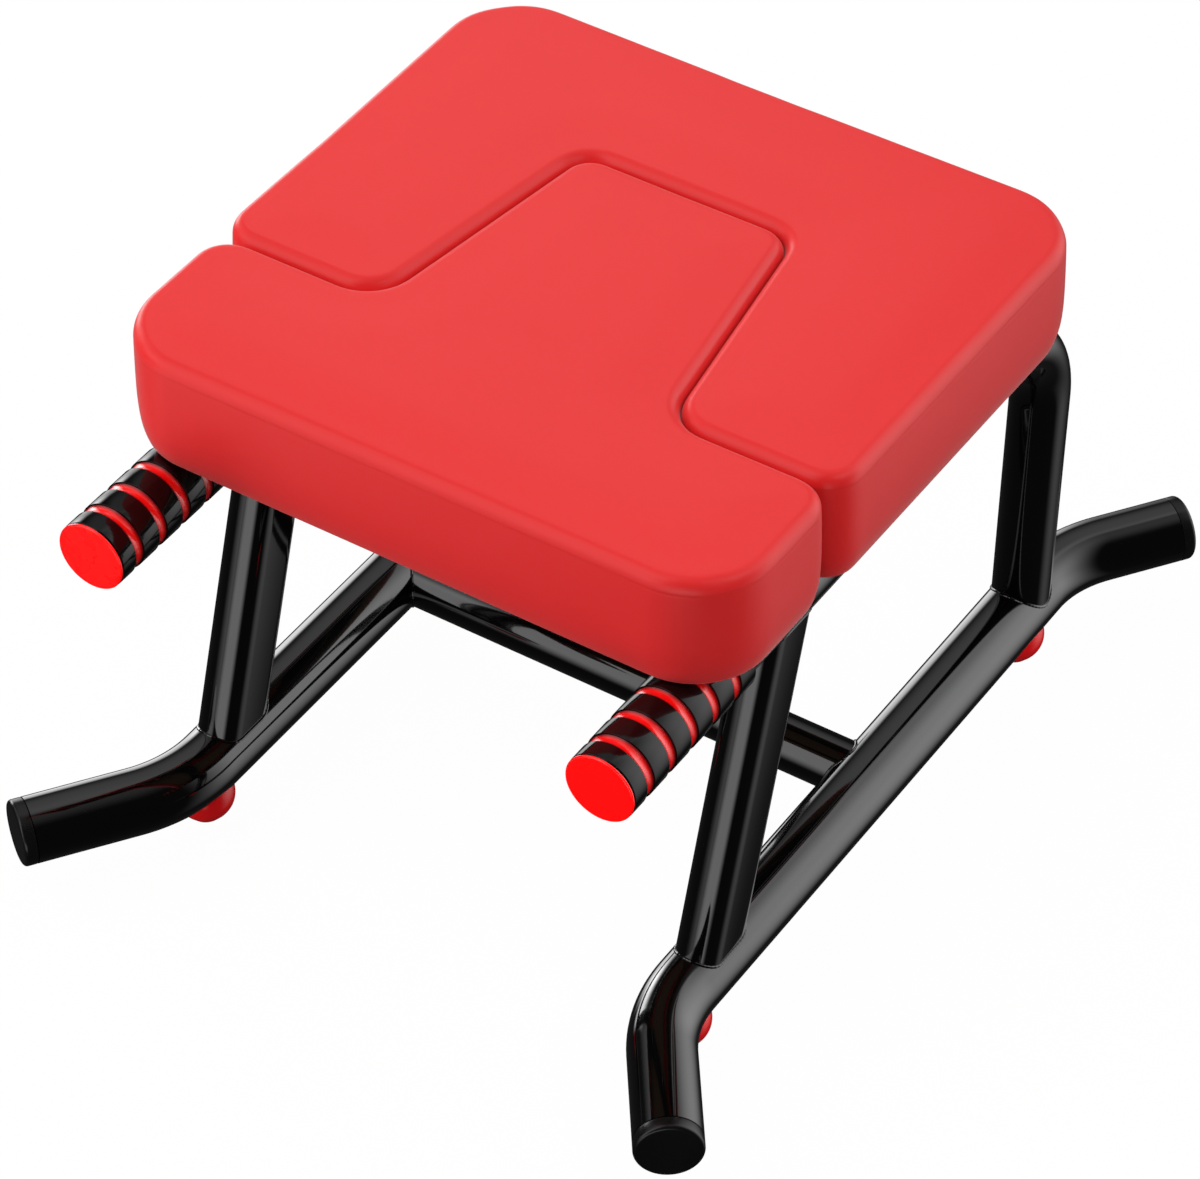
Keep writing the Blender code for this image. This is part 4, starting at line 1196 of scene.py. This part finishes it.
def stuffing_moves(seat, corners, bottom):
    """Puts cloth under pressure over a plain copy of the pad, and returns its points and their moves."""
    solid = linked("stuffed_copy", cushion_mesh(seat, corners, bottom, 0.0))
    remesh = solid.modifiers.new("even", "REMESH")
    remesh.mode = "VOXEL"
    remesh.voxel_size = 0.005
    copy = linked("stuffed_cloth", baked(solid))
    rest = [vert.co.copy() for vert in copy.data.vertices]
    held = copy.vertex_groups.new(name="held")
    held.add([i for i, place in enumerate(rest) if place.z < bottom + CLOTH_HELD], 1.0, "REPLACE")
    cloth = copy.modifiers.new("cloth", "CLOTH")
    for name, value in CLOTH.items():
        setattr(cloth.settings, name, value)
    cloth.settings.effector_weights.gravity = 0.0
    cloth.point_cache.frame_start = 1
    cloth.point_cache.frame_end = CLOTH_FRAMES
    for step in range(1, CLOTH_FRAMES + 1):
        bpy.context.scene.frame_set(step)
    shown = copy.evaluated_get(bpy.context.evaluated_depsgraph_get())
    moves = [vert.co - place for vert, place in zip(shown.data.vertices, rest)]
    bpy.data.objects.remove(copy, do_unlink=True)
    bpy.context.scene.frame_set(1)
    tree = kdtree.KDTree(len(rest))
    for i, place in enumerate(rest):
        tree.insert(place, i)
    tree.balance()
    return tree, moves


def push_out(seat, mesh, corners, bottom):
    """Moves the cover as the stuffing pushed the plain copy, less near the split and the underside."""
    blend, points, softening = 0.030, 8, 0.002
    tree, moves = stuffing_moves(seat, corners, bottom)
    scale = seat.puff / max(move.length for move in moves)
    for vert in mesh.vertices:
        height = (vert.co.z - bottom - CLOTH_HELD) / blend
        if height <= 0.0:
            continue
        near = tree.find_n(vert.co, points)
        weights = [1.0 / (distance + softening) for _, _, distance in near]
        move = sum((moves[i] * weight for (_, i, _), weight in zip(near, weights)), Vector()) / sum(weights)
        move *= scale * min(1.0, height)
        free = 1.0 - seam_share(seat, vert.co.xy)
        vert.co += Vector((move.x * free, move.y * free, move.z))


class BENCH_OT_cushions(bpy.types.Operator):
    """Padded vinyl covers of the two seat pads"""
    bl_idname = "bench.cushions"
    bl_label = "Seat pads"

    def execute(self, context):
        seat = context.scene.bench_seat
        over_board = 0.0003
        for name, prefix, corners, body in pads(seat):
            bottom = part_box(prefix + "_cover")[0].z
            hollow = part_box(prefix + "_board")[1].z + over_board - bottom
            mesh = cushion_mesh(seat, corners, bottom, hollow)
            push_out(seat, mesh, corners, bottom)
            cushion = settle(name, mesh, "red_vinyl", [prefix + "_cover", prefix + "_foam"], body, sharp=60.0)
            smooth = cushion.modifiers.new("smooth", "SUBSURF")
            smooth.levels = 1
            smooth.render_levels = 1
        return {"FINISHED"}


class BENCH_OT_boards(bpy.types.Operator):
    """Plywood boards under the pads and the staples that hold the covers"""
    bl_idname = "bench.boards"
    bl_label = "Boards and staples"

    def execute(self, context):
        inset, point_spacing, staple_spacing = 0.0125, 0.006, 0.024
        tree = copies_tree("staples", Spacing=("Float", staple_spacing))
        pattern = linked("staple_pattern", self.staple())
        for _, prefix, corners, body in pads(context.scene.bench_seat):
            for slot in frame["nodes"][prefix + "_board"].material_slots:
                slot.material = finish_for("plywood")
            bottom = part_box(prefix + "_cover")[0].z
            outline = outline_points(corners, point_spacing)
            line = [Vector((*(place + inward * inset), bottom)) for place, inward in outline]
            staples = grown(line_mesh(line, True), tree, "zinc_steel", Piece=pattern, Spacing=staple_spacing)
            settle(prefix + "_staples", staples, "zinc_steel", [], body)
        bpy.data.objects.remove(pattern, do_unlink=True)
        return {"FINISHED"}

    def staple(self):
        """The crown of a wire staple, 9 mm long, pressed into the hem."""
        half = [Vector((0.0045, 0.0, 0.0006)), Vector((0.0045, 0.0, 0.0)), Vector((0.0041, 0.0, -0.0003))]
        line = [Vector((-place.x, 0.0, place.z)) for place in half] + half[::-1]
        return grown(line_mesh(line), bent_tube_tree(), "zinc_steel", Radius=0.0004, Bend_Radius=0.0002,
                     Bend_Steps=2, Sides=8)


# Stage
def seen(graph):
    """1 for what the camera sees itself or through something clear."""
    camera, through = (graph.add("ShaderNodeLightPath", output=name)
                       for name in ("Is Camera Ray", "Is Transmission Ray"))
    return graph.maths("MINIMUM", camera + through, 1.0)


def aimed(name, data, target, turn, rise, distance):
    """A lamp or camera that looks at a target, at a turn to the right of the front and a rise in degrees."""
    turn, rise = math.radians(turn), math.radians(rise)
    towards = Vector((math.sin(turn) * math.cos(rise), -math.cos(turn) * math.cos(rise), math.sin(rise)))
    obj = linked(name, data)
    obj.location = target + towards * distance
    obj.rotation_euler = (-towards).to_track_quat("-Z", "Y").to_euler()
    return obj


class BENCH_OT_stage(bpy.types.Operator):
    """Floor, lamps, world and camera"""
    bl_idname = "bench.stage"
    bl_label = "Stage"

    def execute(self, context):
        self.floor()
        self.world(context.scene)
        self.lamps()
        self.camera(context.scene)
        context.scene.view_settings.view_transform = "Standard"
        return {"FINISHED"}

    def floor(self):
        """A pale round floor that isn't mirrored and throws no light up at the bench."""
        bm = bmesh.new()
        bmesh.ops.create_circle(bm, cap_ends=True, segments=96, radius=4.0)
        floor = linked("studio_floor", mesh_of(bm, "studio_floor"))
        floor.location.z = -0.0002
        pale = Finish("pale_floor")
        pale.tree.nodes.remove(pale.shader)
        paper = pale.add("ShaderNodeBsdfDiffuse", None, {"Color": (0.86, 0.86, 0.86, 1.0)})
        white = pale.add("ShaderNodeEmission", None, {"Color": (1.0, 1.0, 1.0, 1.0), "Strength": 1.0})
        whole = pale.add("ShaderNodeMixShader", None, {0: seen(pale) * 0.98, 1: paper, 2: white})
        pale.join(pale.tree.nodes["Material Output"].inputs["Surface"], whole)
        floor.data.materials.append(pale.material)
        floor.visible_diffuse = False
        floor.visible_glossy = False
        floor.visible_shadow = False

    def world(self, scene):
        """A white room for the camera, and for everything else a studio of soft cards round the bench."""
        world = bpy.data.worlds.new("studio")
        world.use_nodes = True
        scene.world = world
        graph = Graph(world.node_tree)
        fade = graph.fade
        around = graph.add("ShaderNodeTexCoord", output="Generated")
        x, y, z = (graph.axis(around, name) for name in "XYZ")
        turn = graph.maths("ARCTAN2", x, y) * math.degrees(1.0)
        rise = graph.maths("ARCSINE", z) * math.degrees(1.0)
        past = turn + graph.maths("LESS_THAN", turn, 0.0) * 360.0
        right = fade(turn, -10, 24) * fade(turn, 90, 44) * fade(rise, 78, 20)
        right = right * fade(rise + turn * 0.3, -39, 22)
        front = fade(past, 228, 213) * fade(past, 183, 198) * fade(rise + x * 22, -34, 2) * fade(rise, 74, 54)
        low = fade(past, 132, 152) * fade(past, 202, 174) * fade(rise, -32, -20) * fade(rise, 4, -12)
        beside = fade(turn, -152, -134) * fade(turn, -58, -80) * fade(rise, 8, 38) * fade(rise, 92, 74)
        left = fade(turn, -80, -74) * fade(turn, -52, -62) * fade(rise, -14, -1) * fade(rise, 20, 6)
        skirt = fade(turn, -70, -58) * fade(turn, -28, -48) * fade(rise, -26, -14) * fade(rise, 16, 2)
        above = fade(turn, -62, -44) * fade(turn, 26, 8) * fade(rise, 8, 52) * fade(rise, 88, 74)
        ceiling = fade(rise, 44, 80) * (1.0 - beside)
        ahead = graph.maths("MAXIMUM", front, low)
        cards = right * 1.8 + ahead * 1.4 + beside * 0.6 + left * 4.4 + skirt * 1.8
        cards = cards + above * 0.42 + ceiling * 0.2 + 0.018
        direct = seen(graph)
        background = graph.tree.nodes["Background"]
        graph.join(background.inputs["Strength"], direct + (1.0 - direct) * cards)
        background.inputs["Color"].default_value = (1.0, 1.0, 1.0, 1.0)

    def lamps(self):
        """Large soft lamps that the gloss doesn't mirror, each with its turn, rise and strength."""
        target, distance = Vector((0.0, 0.0, 0.3)), 1.9
        for name, turn, rise, strength in (("left_lamp", -60, 22, 0.41), ("back_left_lamp", -145, 35, 0.36),
                                           ("right_lamp", 80, 45, 0.36), ("low_lamp", -40, -20, 0.34),
                                           ("high_lamp", -30, 60, 0.18), ("front_lamp", 20, 0, 0.11),
                                           ("low_right_lamp", 105, -15, 0.14)):
            light = bpy.data.lights.new(name, "AREA")
            light.shape = "RECTANGLE"
            light.size, light.size_y = 1.0, 1.0
            light.energy = strength * (math.pi * distance) ** 2
            lamp = aimed(name, light, target, turn, rise, distance)
            lamp.visible_glossy = False
            lamp.visible_camera = False

    def camera(self, scene):
        """The photograph's camera, as it was fitted."""
        data = bpy.data.cameras.new("camera")
        data.sensor_fit = "HORIZONTAL"
        data.sensor_width = 36.0
        data.lens = 154.114
        data.clip_start, data.clip_end = 0.05, 50.0
        target, turn, rise, distance = Vector((0.05892, -0.11592, 0.2193)), 33.028, 42.290, 2.68549
        scene.camera = aimed("camera", data, target, turn, rise, distance)


class BENCH_PT_panel(bpy.types.Panel):
    """Buttons for each group of pieces, and their sizes and colours"""
    bl_label = "Inversion bench"
    bl_idname = "BENCH_PT_panel"
    bl_space_type = "VIEW_3D"
    bl_region_type = "UI"
    bl_category = "Bench"

    def draw(self, context):
        for operator in OPERATORS:
            self.layout.operator(operator.bl_idname)
        for name, group in GROUPS:
            box = self.layout.box()
            for label in group.__annotations__:
                box.prop(getattr(context.scene, name), label)


OPERATORS = (BENCH_OT_base_tubes, BENCH_OT_feet, BENCH_OT_side_rails, BENCH_OT_front_legs,
             BENCH_OT_cross_tube, BENCH_OT_grips, BENCH_OT_bars, BENCH_OT_fixings, BENCH_OT_cushions,
             BENCH_OT_boards, BENCH_OT_stage)
GROUPS = (("bench_seat", BenchSeatSizes), ("bench_frame", BenchFrameSizes), ("bench_grips", BenchGripSizes),
          ("bench_colours", BenchColours))


def register():
    for _, group in GROUPS:
        bpy.utils.register_class(group)
    for name, group in GROUPS:
        setattr(bpy.types.Scene, name, PointerProperty(type=group))
    for operator in OPERATORS:
        bpy.utils.register_class(operator)
    bpy.utils.register_class(BENCH_PT_panel)


def unregister():
    bpy.utils.unregister_class(BENCH_PT_panel)
    for operator in reversed(OPERATORS):
        bpy.utils.unregister_class(operator)
    for name, group in reversed(GROUPS):
        delattr(bpy.types.Scene, name)
        bpy.utils.unregister_class(group)


def main():
    for obj in list(bpy.data.objects):
        if obj.type in {"LIGHT", "CAMERA"}:
            bpy.data.objects.remove(obj, do_unlink=True)
    register()
    bpy.ops.bench.base_tubes()
    bpy.ops.bench.feet()
    bpy.ops.bench.side_rails()
    bpy.ops.bench.front_legs()
    bpy.ops.bench.cross_tube()
    bpy.ops.bench.grips()
    bpy.ops.bench.bars()
    bpy.ops.bench.fixings()
    bpy.ops.bench.cushions()
    bpy.ops.bench.boards()
    bpy.ops.bench.stage()


if __name__ == "__main__":
    main()
